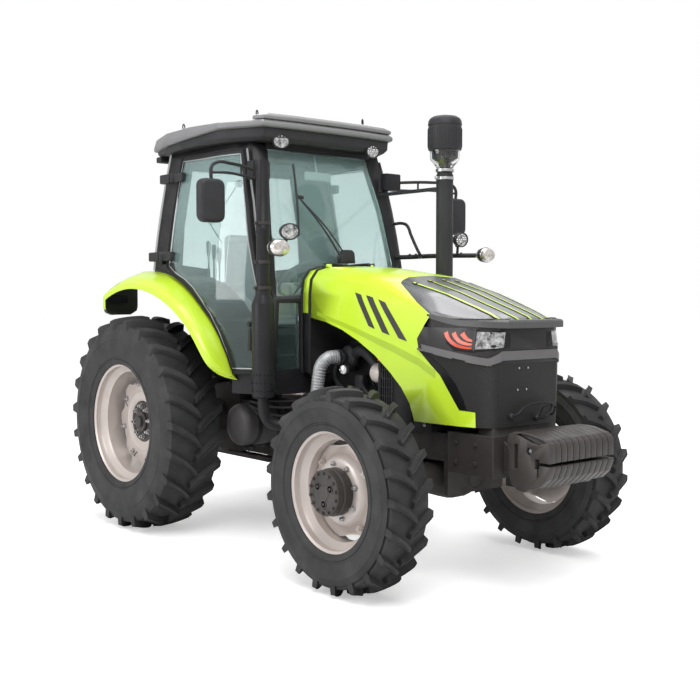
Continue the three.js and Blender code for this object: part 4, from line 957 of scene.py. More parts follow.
def makeHandle():
    grip = noseLooks["handle"]
    bosses = [lathe([(0, 0.012), (0.010, 0.012), (0.017, 0.004), (0.017, -0.012), (0, -0.012)],
                    at(x, noseLooks["bossY"], z), -rearward, 20) for x, _, z in (grip[0], grip[-1])]
    toPiece(gather(bosses), "grilleHandleBosses", "blackPlastic", "hood", 30)
    toPiece(hose(grip, 0.0075), "grilleHandle", "blackPaint", "hood", 40)


def makeCoverLip():  # the cover's thick rim, a five-sided section led round its front
    rings = []
    for x, y, top, low in noseLooks["rim"] + [(-x, *rest) for x, *rest in reversed(noseLooks["rim"][:-1])]:
        pull = (Vector((0, -1.20)) - Vector((x, y))).normalized() * noseLooks["rimReach"]
        rings.append([at(x + pull.x, y + pull.y, top + 0.004), at(x + pull.x * 0.25, y + pull.y * 0.25, top),
                      at(x, y, top - 0.010), at(x, y, low), at(x + pull.x, y + pull.y, low)])
    toPiece(shellOf(rings), "coverLip", "lipGrey", "hood", 30)


def makeBrow():  # the panel between the lamps and the cover
    low, high = (Vector((0, 0, z)) for z in noseLooks["browHeights"])
    thick = noseLooks["browThick"]
    path = [at(x, y, 0) for x, y in noseLooks["brow"]] + [at(-x, y, 0) for x, y in reversed(noseLooks["brow"])]
    plates = []
    for a, b in zip(path, path[1:]):
        inward = Vector((0, thick, 0)) if abs(a.y - b.y) < 0.03 else Vector((-math.copysign(thick, a.x), 0, 0))
        plates.append(prism([a + low, b + low, b + high, a + high], inward))
    toPiece(gather(plates), "noseBrow", "noseGrey", "hood", 40)


lampLooks = {
    "glass": [(-1.377, 1.434), (-1.480, 1.431), (-1.600, 1.425), (-1.692, 1.412), (-1.692, 1.306),
              (-1.600, 1.298),
              (-1.478, 1.304), (-1.420, 1.345)],
    "orangeTops": (-1.412, -1.466, -1.520), "orangeStep": 0.020, "orangeEnd": (-1.585, 1.318),
    "orangeWidths": (0.028, 0.011),
    "flank": [(-1.606, 1.408), (-1.685, 1.405), (-1.685, 1.318), (-1.606, 1.312)],
    "front": [(0.292, -2.2, 1.406), (0.192, -2.2, 1.404), (0.206, -2.2, 1.322), (0.292, -2.2, 1.317)],
    "rim": [(-1.385, 1.428), (-1.420, 1.345), (-1.478, 1.304), (-1.600, 1.298), (-1.690, 1.306)],
    "divider": [(-1.596, 1.412), (-1.596, 1.306)],
}


def makeHeadlights():
    for side, out in sides:
        lens = surfaceOf(f"headlight_{side}", "nose_panel")
        inward, sideX = (-out, 0, 0), (1, 0, 0)
        glass = layOn(lens, patch(upright(out, lampLooks["glass"])), inward, 0.0015, 0.002)
        toPiece(glass, f"lampGlass{side.title()}", "glossBlack", "hood", 30)
        strips = []
        endY, endZ = lampLooks["orangeEnd"]
        for i, top in enumerate(lampLooks["orangeTops"]):
            z = endZ + lampLooks["orangeStep"] * i
            path = bent(*upright(out, [(top, 1.402 - 0.002 * i), (top - 0.030, z), (endY, z)]), 14)
            strips.append(layOn(lens, ribbon(path, lampLooks["orangeWidths"], sideX), inward, 0.003, 0.003))
        toPiece(gather(strips), f"turnLines{side.title()}", "orangeGlow", "hood", 30)
        # the reflector's chrome carries painted reflections in its dark patches
        reflector = gather([
            layOn(lens, patch(upright(out, lampLooks["flank"]), 6), inward, 0.0025, 0.003),
            layOn(lens, patch(spots(lampLooks["front"], out), 6), rearward, 0.0025, 0.003)])
        toPiece(reflector, f"lampReflector{side.title()}", "lampChromePaintedReflections", "hood", 30)
        trims = [layOn(lens, ribbon(upright(out, lampLooks[key]), width, sideX), inward, 0.004, 0.004)
                 for key, width in (("rim", 0.009), ("divider", 0.012))]
        toPiece(gather(trims), f"lampTrim{side.title()}", "glossBlack", "hood", 30)


def makeBands():
    bands = []
    for node, y in (("cowl", -0.160), ("cowl", -0.078)):
        loop = [p for p in sectionLoop(node, y) if p.z > 1.10]
        bands.append(sweep([Vector((p.x, y, p.z)) + Vector((p.x, 0, 0)).normalized() * 0.001 for p in loop],
                           0.010, 3))
    toPiece(gather(bands), "cowlRubbers", "rubberSealAndPaintedShade", "chassis", 30)


def facesIn(face):  # the inner side of a shell that is open below, and the hinge lugs above it
    inside = face.normal.x * face.center.x + face.normal.z * (face.center.z - 1.15) < -0.02
    return inside or (face.center.y > -0.20 and face.center.z > 1.799 + datum)


def splitHood():
    skin = skinNode("hood_panel", "limePaint", 38)
    skin.data.materials.append(materials["blackPaint"])
    for face in skin.data.polygons:
        face.material_index = int(facesIn(face))


def splitCowl():  # lime above the hood's lower edge, black below it
    parting = at(0, 0, 1.492)
    bm = mergedCopy("cowl")
    bmesh.ops.bisect_plane(bm, geom=bm.verts[:] + bm.edges[:] + bm.faces[:], plane_co=parting, plane_no=up)
    skin = toPiece(bm, "cowlSkin", "limePaint", "chassis", 38, ("cowl",))
    skin.data.materials.append(materials["blackPaint"])
    for face in skin.data.polygons:
        face.material_index = int(face.center.z < parting.z or facesIn(face))


splitHood()
for skin in (("hood_cover", "coverPlastic", 60), ("nose_panel", "noseGrey", 32), ("grille", "fineMesh", 32),
             ("headlight_left", "glossBlack", 32), ("headlight_right", "glossBlack", 32)):
    skinNode(*skin)
splitCowl()
makeCoverLines()
makeFlankMarks()
makeNoseFace()
makeHandle()
makeCoverLip()
makeBrow()
makeHeadlights()
makeBands()
print("stage: hood and nose")

# front weights and their support
slabLooks = {"count": 11, "gap": 0.0022, "edge": 0.006, "endEdge": 0.003, "cutDepth": 0.036,
             "rodBack": 0.150, "rodHeight": 0.790, "rodHole": 0.019}
supportLooks = {
    "bolts": [(-1.442, 0.791), (-1.588, 0.790), (-1.441, 0.682), (-1.589, 0.687)],
    "cheek": [(-1.7155, 0.815), (-1.745, 0.790), (-1.775, 0.735), (-1.789, 0.735), (-1.789, 0.690),
              (-1.775, 0.690),
              (-1.745, 0.650), (-1.7155, 0.640)],
    "boltX": 0.300, "cheekX": 0.2005, "cheekThick": 0.014,
}


def makeWeights():
    low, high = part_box("front_weights")
    front, back = low.y, high.y
    outline = [
        (back, 0.842), (back, 0.800), (back - 0.012, 0.790), (back - 0.012, 0.655), (back - 0.030, 0.600),
        (back - 0.070, 0.577), (back - 0.125, 0.570), (front + 0.150, 0.582), (front + 0.070, 0.606),
        (front + 0.022, 0.650), (front, 0.705), (front, 0.722), (front + 0.070, 0.722), (front + 0.070, 0.702),
        (front + 0.098, 0.702), (front + 0.098, 0.754), (front + 0.070, 0.754), (front + 0.070, 0.738),
        (front + 0.001, 0.738), (front + 0.001, 0.812), (front + 0.010, 0.838), (front + 0.034, 0.858),
        (front + 0.120, 0.880), (front + 0.170, 0.884), (back - 0.050, 0.884), (back - 0.016, 0.872),
    ]
    crescent = [(back - 0.062, 0.872), (back - 0.110, 0.858), (back - 0.170, 0.836), (back - 0.215, 0.832),
                (back - 0.262, 0.846), (back - 0.215, 0.862), (back - 0.150, 0.874), (back - 0.090, 0.878)]
    slots = [((back - 0.075, 0.690), (back - 0.048, 0.820)), ((back - 0.212, 0.660), (back - 0.202, 0.755))]
    rodY, rodZ, depth = back - slabLooks["rodBack"], slabLooks["rodHeight"], slabLooks["cutDepth"]
    width = (high.x - low.x) / slabLooks["count"]
    thick = width - slabLooks["gap"]
    slabs = []
    for i in range(slabLooks["count"]):
        x = low.x + i * width + slabLooks["gap"] / 2
        slab = prism([at(x, y, z) for y, z in outline], Vector((thick, 0, 0)))
        edge = slabLooks["edge"]
        if i in (0, slabLooks["count"] - 1):  # the outer faces are hollowed
            near = x - 0.01 if i == 0 else x + thick - 0.026
            cutters = [prism([at(near, y, z) for y, z in crescent], Vector((depth, 0, 0))),
                       rod(at(near, rodY, rodZ), at(near + depth, rodY, rodZ), slabLooks["rodHole"], 24)]
            cutters += [block(at(near, *a), at(near + depth, *b), 0) for a, b in slots]
            slab = carve(slab, cutters)
            edge = slabLooks["endEdge"]
        slabs.append(roundEdges(slab, edge, 2, 25))
    toPiece(gather(slabs), "weightSlabs", "castBrown", "chassis", 32, ("front_weights",))
    pins = [nut(at(x - out * 0.020, rodY, rodZ), (out, 0, 0), 0.012, 0.008, 0.5, 0.004)
            for out, x in ((1, high.x), (-1, low.x))]
    toPiece(gather(pins), "weightRodNuts", "brightSteel", "chassis", 30)
    hooks = [block(at(x - 0.016, -1.7925, 0.805), at(x + 0.016, -1.745, 0.835), 0.003) for x in (-0.150, 0.150)]
    toPiece(gather(hooks), "weightHooks", "castDark", "chassis", 30)


def makeSupport():
    bolts, cheeks = [], []
    for out in (1, -1):
        bolts += [nut(p, (out, 0, 0), 0.014, 0.010, 0.5, 0.004)
                  for p in upright(out, supportLooks["bolts"], supportLooks["boltX"])]
        cheeks.append(prism(upright(out, supportLooks["cheek"], supportLooks["cheekX"]),
                            Vector((out * supportLooks["cheekThick"], 0, 0)), 0.002, 1))
    toPiece(gather(bolts), "supportBolts", "castDark", "chassis", 30)
    toPiece(gather(cheeks), "carrierCheeks", "castDark", "chassis", 30)


makeWeights()
makeSupport()
skinNode("front_frame", "castDark", 30, 0.004)
print("stage: front weights")

# cab
cab = {"hingeHeights": (1.870, 2.415), "frontHalf": 0.600, "bow": 0.180, "bowFrom": -0.030, "bowLength": 0.500,
       "waist": 1.700, "glassHeight": 0.900, "lean": 0.150,
       # the door's outline from its front foot, up and back along the top, as (y, z)
       "doorEdge": [(-0.027, 1.105), (-0.021, 1.600), (0.021, 1.800), (0.068, 2.000), (0.113, 2.200),
                    (0.171, 2.400),
                    (0.219, 2.555), (0.870, 2.555), (0.870, 1.800)],
       # and down along the fender, as (degrees, radius) round the rear axle
       "doorArc": [(71, 1.082), (64, 1.082), (57, 1.082), (50, 1.082), (43, 1.082), (36, 1.066), (29, 1.048),
                   (22, 1.034)]}


def cabSide(y, z):  # half-width of the cab's outer skin at a place, above the datum plane
    bow = min(1.0, max(0.0, (y - cab["bowFrom"]) / cab["bowLength"]))
    rise = max(0.0, z - cab["waist"]) / cab["glassHeight"]
    return cab["frontHalf"] + cab["bow"] * math.sin(math.pi / 2 * bow) - cab["lean"] * rise ** 1.4


def onSide(out, y, z, proud=0.0):
    return at(out * (cabSide(y, z) + proud), y, z)


def byAxle(degrees, radius):  # (y, z) of a place round the rear axle, from straight ahead over the top
    turn = math.radians(degrees)
    return rearAxle["y"] - radius * math.cos(turn), rearAxle["z"] + radius * math.sin(turn)


def sideBlock(out, x, y, z, edge, segments=2):  # a block on one side of the machine, from ranges of x, y and z
    ends = sorted(out * value for value in x)
    return block(at(ends[0], y[0], z[0]), at(ends[1], y[1], z[1]), edge, segments)


def makeDoors():
    outline = cab["doorEdge"] + [byAxle(*place) for place in cab["doorArc"]]
    edge = along(outline + outline[:1])
    middle = Vector((0.45, 1.9))
    for side, out in sides:
        seal = sweep([onSide(out, y, z, 0.001) for y, z in edge], 0.006, 2, False, True)
        toPiece(seal, f"doorSeal{side.title()}", "rubberSealAndPaintedShade", f"door_{side}", 40)
        inside = []
        for y, z in edge:
            inward = (middle - Vector((y, z))).normalized()
            inside.append((y + inward.x * 0.030, z + inward.y * 0.034))
        trim = sweep([onSide(out, y, z, -0.004) for y, z in inside], 0.0045, 2, False, True)
        toPiece(trim, f"doorGlassTrim{side.title()}", "postSilver", f"door_{side}", 40)
        # each hinge has a half on the door and a half on the rear post
        for name, body, ends, reach in (("door", f"door_{side}", (0.790, 0.948), 0.030),
                                        ("chassis", "chassis", (0.955, 1.080), 0.034)):
            halves = []
            for z in cab["hingeHeights"]:
                x = cabSide(0.85, z)
                halves.append(sideBlock(out, (x - 0.010, x + reach), ends, (z - 0.030, z + 0.034), 0.010, 3))
            toPiece(gather(halves), f"{name}HingeCover{side.title()}", "blackPlastic", body, 40)
        handle = [sideBlock(out, (0.618, 0.655), (0.045, 0.075), (1.250, 1.390), 0.008, 3),
                  rod(at(out * 0.640, 0.060, 1.420), at(out * 0.660, 0.060, 1.420), 0.016, 24)]
        toPiece(gather(handle), f"doorHandle{side.title()}", "blackPlastic", f"door_{side}", 40)


def makePosts():  # bright strips down the rear and front door posts
    rise = line((1.076, 1.78, 0), (1.076, 2.60, 0), 10)
    front = along(cab["doorEdge"][1:7], 0.08)
    for side, out in sides:
        for name, path, width in (("rear", [onSide(out, y, z, -0.019) for y, z, _ in rise], 0.024),
                                  ("front", [onSide(out, y - 0.030, z, -0.002) for y, z in front], 0.022)):
            strip = ribbon(path, width, (1, 0, 0))
            if name == "rear":
                strip.normal_update()
            bmesh.ops.solidify(strip, geom=strip.faces[:], thickness=0.004)
            toPiece(strip, f"{name}PostTrim{side.title()}", "postSilver", "chassis", 40)


roofLooks = {  # half the outline, then how far in and how high each edge of a part lies
    "plan": [(0, 0.008), (0.300, 0.012), (0.560, 0.030), (0.700, 0.330), (0.748, 0.640), (0.715, 1.000),
             (0.600, 1.335)],
    "middleY": 0.66, "band": [(0.052, 2.6004), (0.030, 2.625), (0.026, 2.700)],
    "hatch": [(-0.080, 2.7515), (-0.020, 2.790), (0.010, 2.806)],
    "visor": [(0.004, 0.120, 2.735), (0.004, 0.115, 2.756), (0.030, 0.100, 2.777), (0.060, 0.085, 2.781)],
    "rings": [(-0.420, 0.290, 0.040), (-0.560, 0.985, 0.018), (0.330, 0.090, 0.034), (0.520, 0.985, 0.018)],
    "ringFoot": 2.750, "rearLampX": 0.560,
}


def bothSides(half):  # half an outline from or to the middle line, carried on round the other side
    return half + [(-x, y) for x, y in reversed(half) if x > 0]


def roofRing(inwards, height):  # the roof's outline pulled in towards its middle, at a height that may follow y
    ring = []
    for x, y in bothSides(roofLooks["plan"]):
        spot = Vector((x, y))
        way = (Vector((0, roofLooks["middleY"])) - spot).normalized()
        spot += way * inwards * (1.25 if abs(x) > 0.5 and y < 0.1 else 1.0)
        ring.append(at(spot.x, spot.y, height(y) if callable(height) else height))
    return ring


def lipHeight(y):  # the grey shell's lower edge drops towards the rear
    share = min(1.0, max(0.0, (y - 0.30) / 0.50))
    return 2.684 - 0.044 * share * share * (3 - 2 * share)


# the upward faces take a paler grey than the sides: painted light on the roof's tops
def paintLitTops(obj):
    obj.data.materials.append(materials["roofPaintedHighlight"])
    for face in obj.data.polygons:
        face.material_index = int(face.normal.z > 0.80)


def roofPart(rings, edge, name):
    paintLitTops(toPiece(roundEdges(shellOf(rings), edge, 2, 12), name, "roofGrey", "chassis", 30))


def makeRoof():
    band = shellOf([roofRing(inwards, height) for inwards, height in roofLooks["band"]])
    toPiece(roundEdges(band, 0.004), "roofBand", "blackPlastic", "chassis", 30, ("cab_roof",))
    roofPart([roofRing(0.012, lipHeight), roofRing(0.0, lambda y: lipHeight(y) + 0.006),
              roofRing(0.0, lambda y: lipHeight(y) + 0.030), roofRing(0.020, 2.730), roofRing(0.100, 2.752)],
             0.006, "roofShell")
    hatch, visor = [], []
    for k, z in roofLooks["hatch"]:
        half = [(0.330 - k, 0.470 + k), (0.370 - k, 0.900), (0.300 - k, 1.180 - k)]
        hatch.append([at(x, y, z) for x, y in bothSides(half)])
    roofPart(hatch, 0.005, "roofHatch")
    for inwards, back, z in roofLooks["visor"]:
        half = [(0.590 - inwards * 2.4, back), (0.555 - inwards * 2.0, 0.030 + inwards * 0.8),
                (0.300, 0.012 + inwards * 0.8), (0.0, 0.008 + inwards * 0.8)]
        visor.append([at(x, y, z) for x, y in bothSides(half)])
    roofPart(visor, 0.005, "roofVisor")


def makeRoofFittings():  # lifting rings and the two lamps under the rear edge
    rings, bodies, lenses = [], [], []
    for x, y, high in roofLooks["rings"]:
        foot = at(x, y, roofLooks["ringFoot"])
        rings.append(rod(foot - Vector((0, 0, 0.010)), foot + Vector((0, 0, high)), 0.010, 16, 0.007))
        loop = [foot + Vector((0.015 * math.cos(a), 0.011 * math.cos(a), high + 0.019 + 0.020 * math.sin(a)))
                for a in [math.tau * i / 12 for i in range(12)]]
        rings.append(sweep(loop, 0.0045, 2, True, True))
    toPiece(gather(rings), "liftingRings", "blackPaint", "chassis", 30)
    for x in (roofLooks["rearLampX"], -roofLooks["rearLampX"]):
        bodies += [block(at(x - 0.050, 1.222, 2.560), at(x + 0.050, 1.290, 2.602), 0.010, 3),
                   rod(at(x, 1.255, 2.600), at(x, 1.255, 2.625), 0.014, 16)]
        lenses.append(block(at(x - 0.042, 1.289, 2.567), at(x + 0.042, 1.293, 2.596), 0.001))
    toPiece(gather(bodies), "rearLampBodies", "blackPlastic", "chassis", 30)
    # these lenses use the chrome with painted reflections
    toPiece(gather(lenses), "rearLampLenses", "lampChromePaintedReflections", "chassis", 30)


def lampHead(place, way, radius, depth):  # a round lamp: housing, bezel and a faceted lens face
    housing = lathe([(0, -depth), (radius * 0.55, -depth), (radius * 0.92, -depth * 0.45), (radius, 0),
                     (radius, 0.006), (radius - 0.006, 0.008), (radius - 0.008, 0.002), (0, 0.002)],
                    place, way, 40)
    lens = lathe([(0, 0.0065), (radius * 0.5, 0.006), (radius - 0.009, 0.004), (radius - 0.009, 0.0022),
                  (0, 0.0022)],
                 place, way, 40)
    turn = turnTo(place, way)
    cells = []
    for ring, count in ((0.0, 1), (0.34, 6), (0.66, 12)):
        for i in range(count):
            angle = math.tau * i / count
            spot = turn @ Vector((ring * radius * math.cos(angle), ring * radius * math.sin(angle), 0.0055))
            cells.append(lathe([(0, 0.003), (radius * 0.10, 0.002), (radius * 0.13, 0), (0, 0)], spot, way, 8))
    lens = gather([lens, *cells])
    for part in (housing, lens):
        bmesh.ops.scale(part, vec=(1.12, 1.0, 0.84), space=Matrix.Translation(-place), verts=part.verts)
    return housing, lens


lampPlaces = {  # place, radius and depth of the round lamps, then the turn lamps and the arms they stand on
    "roof": ((0.395, 0.058, 2.604), 0.058, 0.045), "post": ((0.730, -0.478, 1.982), 0.060, 0.050),
    "turn": (0.876, -0.566, 1.880), "turnSwell": (1.28, 1.0, 0.95),
    "turnBody": [(0, -0.020), (0.050, -0.018), (0.054, 0.0), (0.054, 0.010), (0, 0.010)],
    "frontLens": [(0, 0.040), (0.024, 0.037), (0.042, 0.028), (0.050, 0.012), (0.052, 0.0), (0, 0)],
    "backLens": [(0, 0.036), (0.024, 0.033), (0.040, 0.024), (0.048, 0.010), (0.050, 0.0), (0, 0)],
    "arm": [(0.556, -0.010, 1.872), (0.584, -0.110, 1.872), (0.650, -0.290, 1.876), (0.852, -0.520, 1.878)],
    "armNuts": [(1, 0.05), (1, 0.30), (2, 0.62)],  # which stretch of the arm, and how far along it
}


def makeLamps():
    housings, lenses, turnLenses, brackets, sleeves = [], [], [], [], []
    for out in (1, -1):
        ahead = Vector((out * 0.10, -1, -0.12)).normalized()
        for where in ("roof", "post"):
            (x, y, z), radius, depth = lampPlaces[where]
            housing, lens = lampHead(at(out * x, y, z), ahead, radius, depth)
            housings.append(housing)
            lenses.append(lens)
        roofX, postX = (out * lampPlaces[where][0][0] for where in ("roof", "post"))
        brackets += [block(at(roofX - 0.010, 0.075, 2.640), at(roofX + 0.010, 0.110, 2.668), 0.002),
                     rod(at(postX, -0.440, 1.890), at(postX, -0.445, 1.945), 0.009, 16),
                     block(at(postX - 0.012, -0.458, 1.935), at(postX + 0.012, -0.430, 1.965), 0.002)]
        x, y, z = lampPlaces["turn"]
        bulb = at(out * x, y, z)
        parts = [lathe(lampPlaces["turnBody"], bulb, (0, -1, 0), 40),
                 lathe(lampPlaces["frontLens"], bulb + Vector((0, -0.010, 0)), (0, -1, 0), 40),
                 lathe(lampPlaces["backLens"], bulb + Vector((0, 0.020, 0)), (0, 1, 0), 40)]
        for part in parts:
            bmesh.ops.scale(part, vec=lampPlaces["turnSwell"], space=Matrix.Translation(-bulb),
                            verts=part.verts)
        housings.append(parts[0])
        turnLenses += parts[1:]
        arm = [at(out * x, y, z) for x, y, z in lampPlaces["arm"]]
        sleeves.append(sweep(arm, 0.0165, 3))
        for first, share in lampPlaces["armNuts"]:
            spot = arm[first].lerp(arm[first + 1], share) + Vector((0, 0, 0.014))
            sleeves.append(nut(spot, (0, 0, 1), 0.008, 0.005, 0.5, 0))
    toPiece(gather(housings), "lampHousings", "blackPlastic", "chassis", 40)
    # these lenses use the chrome with painted reflections
    toPiece(gather(lenses), "lampLenses", "lampChromePaintedReflections", "chassis", 30)
    toPiece(gather(turnLenses), "turnLampLenses", "clearChrome", "chassis", 30)
    toPiece(gather(brackets), "lampBrackets", "blackPaint", "chassis", 30)
    toPiece(gather(sleeves), "lampArmSleeves", "blackPaint", "chassis", 40)


def makeWiper():
    pivot = at(-0.012, -0.096, 1.850)
    elbow = at(-0.288, 0.004, 2.242)
    parts = [sweep([pivot, pivot.lerp(elbow, 0.5) + Vector((0, -0.018, 0.006)), elbow], 0.007, 2)]
    second = Vector((0.046, -0.004, 0.004))
    parts.append(sweep([pivot + second, (pivot + second).lerp(elbow, 0.5) + Vector((0.006, -0.018, 0.004)),
                        elbow + Vector((0.010, 0, -0.010))], 0.005, 2))
    parts.append(block(elbow - Vector((0.022, 0.012, 0.010)), elbow + Vector((0.030, 0.006, 0.014)), 0.004))
    top, bottom = at(-0.306, 0.048, 2.462), at(-0.336, -0.052, 1.992)
    blade = [top.lerp(bottom, i / 8) + Vector((0, -0.012 * math.sin(math.pi * i / 8), 0)) for i in range(9)]
    parts.append(sweep(blade, 0.006, 2))
    wide = ribbon(blade, 0.018, (0, 1, 0))
    bmesh.ops.solidify(wide, geom=wide.faces[:], thickness=0.004)
    parts.append(wide)
    parts.append(lathe([(0, 0.030), (0.020, 0.028), (0.026, 0.018), (0.026, 0), (0, 0)],
                       pivot + Vector((0, 0.012, 0)),
                       (0, -1, 0), 28))
    cover = [at(-0.030, -0.118, 1.818), at(-0.030, -0.112, 1.860), at(-0.005, -0.108, 1.896),
             at(0.010, -0.106, 1.908),
             at(0.072, -0.106, 1.908), at(0.092, -0.108, 1.890), at(0.092, -0.118, 1.818)]
    parts.append(prism(cover, Vector((0, 0.048, 0)), 0.006, 2))
    toPiece(gather(parts), "wiper", "blackPlastic", "chassis", 40)


def roundedOutline(x, z, halfWide, halfHigh, corner):
    points = []
    for quarter, (wide, high) in enumerate(((1, 1), (-1, 1), (-1, -1), (1, -1))):
        for i in range(7):
            angle = math.pi / 2 * (quarter + i / 6)
            points.append((x + (halfWide - corner) * wide + corner * math.cos(angle),
                           z + (halfHigh - corner) * high + corner * math.sin(angle)))
    return points


def makeMirrors():
    for side, out in sides:
        x = out * 1.043
        shell = prism([at(px, -0.088, pz) for px, pz in roundedOutline(x, 2.173, 0.088, 0.131, 0.046)],
                      Vector((0, -0.058, 0)))
        rear = [e for e in shell.edges if all(abs(v.co.y + 0.146) < 0.001 for v in e.verts)]
        bmesh.ops.bevel(shell, geom=rear, offset=0.024, affect="EDGES", segments=4, profile=0.5, material=-1)
        arms = [hose([(out * 0.525, 0.075, 2.392), (out * 0.640, 0.040, 2.404), (out * 0.860, -0.060, 2.412),
                      (out * 1.000, -0.104, 2.404), (out * 1.040, -0.115, 2.372),
                      (out * 1.043, -0.116, 2.290)], 0.011, 3),
                hose([(out * 0.525, 0.070, 2.350), (out * 0.700, 0.010, 2.350), (out * 0.900, -0.076, 2.352),
                      (out * 1.042, -0.115, 2.340)], 0.008, 3),
                rod(at(out * 0.760, -0.018, 2.351), at(out * 0.760, -0.018, 2.409), 0.007, 12),
                sideBlock(out, (0.478, 0.552), (0.083, 0.097), (2.330, 2.414), 0.004),
                rod(at(out * 0.535, 0.075, 2.330), at(out * 0.535, 0.075, 2.414), 0.016, 20)]
        toPiece(gather([shell, *arms]), f"mirrorShell{side.title()}", "blackPlastic", "chassis", 40,
                (f"mirror_{side}",))
        glass = prism([at(px, -0.0885, pz) for px, pz in roundedOutline(x, 2.173, 0.078, 0.120, 0.038)],
                      Vector((0, 0.002, 0)))
        toPiece(glass, f"mirrorGlass{side.title()}", "mirrorGlass", "chassis", 30)
        mount = sideBlock(out, (0.500, 0.640), (0.030, 0.096), (2.342, 2.462), 0.010)
        toPiece(mount, f"mirrorMount{side.title()}", "blackPaint", "chassis", 30)


def makeInterior():
    levers = []
    for y, top in ((1.000, 1.998), (0.930, 1.970), (0.860, 1.943)):
        levers.append(rod(at(-0.350, y, 1.560), at(-0.350, y, top - 0.09), 0.006, 12))
        levers.append(lathe([(0, 0.110), (0.012, 0.106), (0.017, 0.090), (0.015, 0.045), (0.010, 0.0), (0, 0)],
                            at(-0.350, y, top - 0.110), (0, 0, 1), 20))
    toPiece(gather(levers), "leverSet", "interiorGrey", "chassis", 40)
    consoles = []
    for out in (1, -1):
        profile = [(0.560, 1.181), (0.540, 1.420), (0.560, 1.560), (0.700, 1.640), (0.920, 1.700),
                   (1.030, 1.700),
                   (1.045, 1.500), (1.045, 1.181)]
        consoles.append(prism([at(out * 0.270, y, z) for y, z in profile], Vector((out * 0.100, 0, 0)), 0.014,
                              3))
    toPiece(gather(consoles), "sideConsoles", "consoleGrey", "chassis", 40)
    toPiece(gather([
        block(at(0.300, 0.600, 1.660), at(0.340, 0.860, 1.700), 0.012, 3),
        block(at(-0.340, 0.600, 1.660), at(-0.300, 0.860, 1.700), 0.012, 3),
    ]), "armRests", "interiorGrey", "chassis", 40)
    mirror = gather([block(at(-0.110, 0.165, 2.380), at(0.110, 0.190, 2.440), 0.012, 3),
                     rod(at(0, 0.185, 2.430), at(0, 0.215, 2.560), 0.006, 12)])
    toPiece(mirror, "insideMirror", "consoleGrey", "chassis", 40)
    pedals = []
    for x in (-0.160, -0.060, 0.170):
        pedals.append(block(at(x - 0.035, 0.120, 1.075), at(x + 0.035, 0.135, 1.150), 0.004))
        pedals.append(rod(at(x, 0.100, 1.010), at(x, 0.128, 1.100), 0.008, 12))
    toPiece(gather(pedals), "pedals", "blackPaint", "chassis", 40)
    panel = prism([at(-0.150, 0.055, 1.600), at(-0.150, 0.012, 1.650), at(-0.150, 0.020, 1.690),
                   at(-0.150, 0.120, 1.640),
                   at(-0.150, 0.190, 1.530), at(-0.150, 0.150, 1.520)], Vector((0.300, 0, 0)), 0.012, 3)
    toPiece(panel, "dashBinnacle", "consoleGrey", "chassis", 40)
    dials = []
    for x, radius in ((-0.080, 0.032), (0.0, 0.042), (0.080, 0.032)):
        way = Vector((0, 0.84, 0.54)).normalized()
        spot = at(x, 0.158, 1.592)
        dials.append(lathe([(0, 0.004), (radius - 0.004, 0.004), (radius, 0.008), (radius + 0.003, 0.0),
                            (0, 0.0)],
                           spot, way, 32))
    toPiece(gather(dials), "dials", "blackPlastic", "chassis", 30)
    skinNode("steering_wheel", "blackPlastic", 50)


def makeRails():
    grab = hose([(0.540, 0.010, 2.104), (0.556, -0.080, 2.106), (0.560, -0.118, 2.090), (0.560, -0.160, 2.020),
                 (0.560, -0.225, 1.917), (0.566, -0.245, 1.880), (0.600, -0.200, 1.870)], 0.011, 3)
    toPiece(grab, "grabRail", "blackPaint", "chassis", 40)


skinNode("cab_frame", "blackPaint", 30)
makeDoors()
makePosts()
makeRoof()
makeRoofFittings()
makeLamps()
makeWiper()
makeMirrors()
makeInterior()
makeRails()
print("stage: cab")

# fenders: the CAD's sweep round each rear wheel in finer steps, with a rounded foot and a flap at the rear
fenderLooks = {
    # (angle from straight ahead in degrees, radius round the rear axle, or for the lip the place sideways)
    "inner": [(18, 1.004), (22, 1.010), (32, 1.034), (42, 1.060), (90, 1.060), (100, 1.072), (112, 1.112)],
    "outer": [(18, 1.020), (25, 1.047), (32, 1.064), (42, 1.066), (50, 1.044), (61, 1.016), (73, 0.996),
              (84, 0.986),
              (98, 0.978), (112, 0.972)],
    "lip": [(18, 0.745), (25, 0.860), (30, 0.898), (40, 0.925), (50, 0.932), (112, 0.932)],
    "thick": 0.007, "from": 19.6, "to": 112.0, "steps": 62, "footTo": 27, "tuck": 0.0395, "ridge": 0.62,
    "crown": 0.012, "flank": 0.048, "spread": 0.12, "spreadFrom": 96, "spreadTurn": 14,
    "bend": 0.049, "bendSteps": 6, "flapEnd": 1.462, "flapSteps": 8, "corner": 0.06, "flapFrom": 1.47,
    "lampAt": (0.80, 1.532, 1.575),
}
tailLamp = [  # name, finish, low and high corners about the lamp's middle, edge, segments
    ("Body", "blackPlastic", (-0.085, -0.012, -0.033), (0.085, 0.036, 0.033), 0.010, 3),
    ("Red", "redGlow", (-0.078, 0.034, -0.026), (0.012, 0.040, 0.026), 0.002, 2),
    ("Amber", "orangeGlow", (0.016, 0.034, -0.026), (0.078, 0.040, 0.026), 0.002, 2),
]


def eased(table, value):  # reads a table of (place, size) pairs with its corners smoothed
    def plain(v):
        v = min(max(v, table[0][0]), table[-1][0])
        for (a, low), (b, high) in zip(table, table[1:]):
            if v <= b:
                return low + (high - low) * (v - a) / (b - a)
        return table[-1][1]
    return sum(plain(value + shift) for shift in (-4, -2.6, -1.3, 0, 1.3, 2.6, 4)) / 7


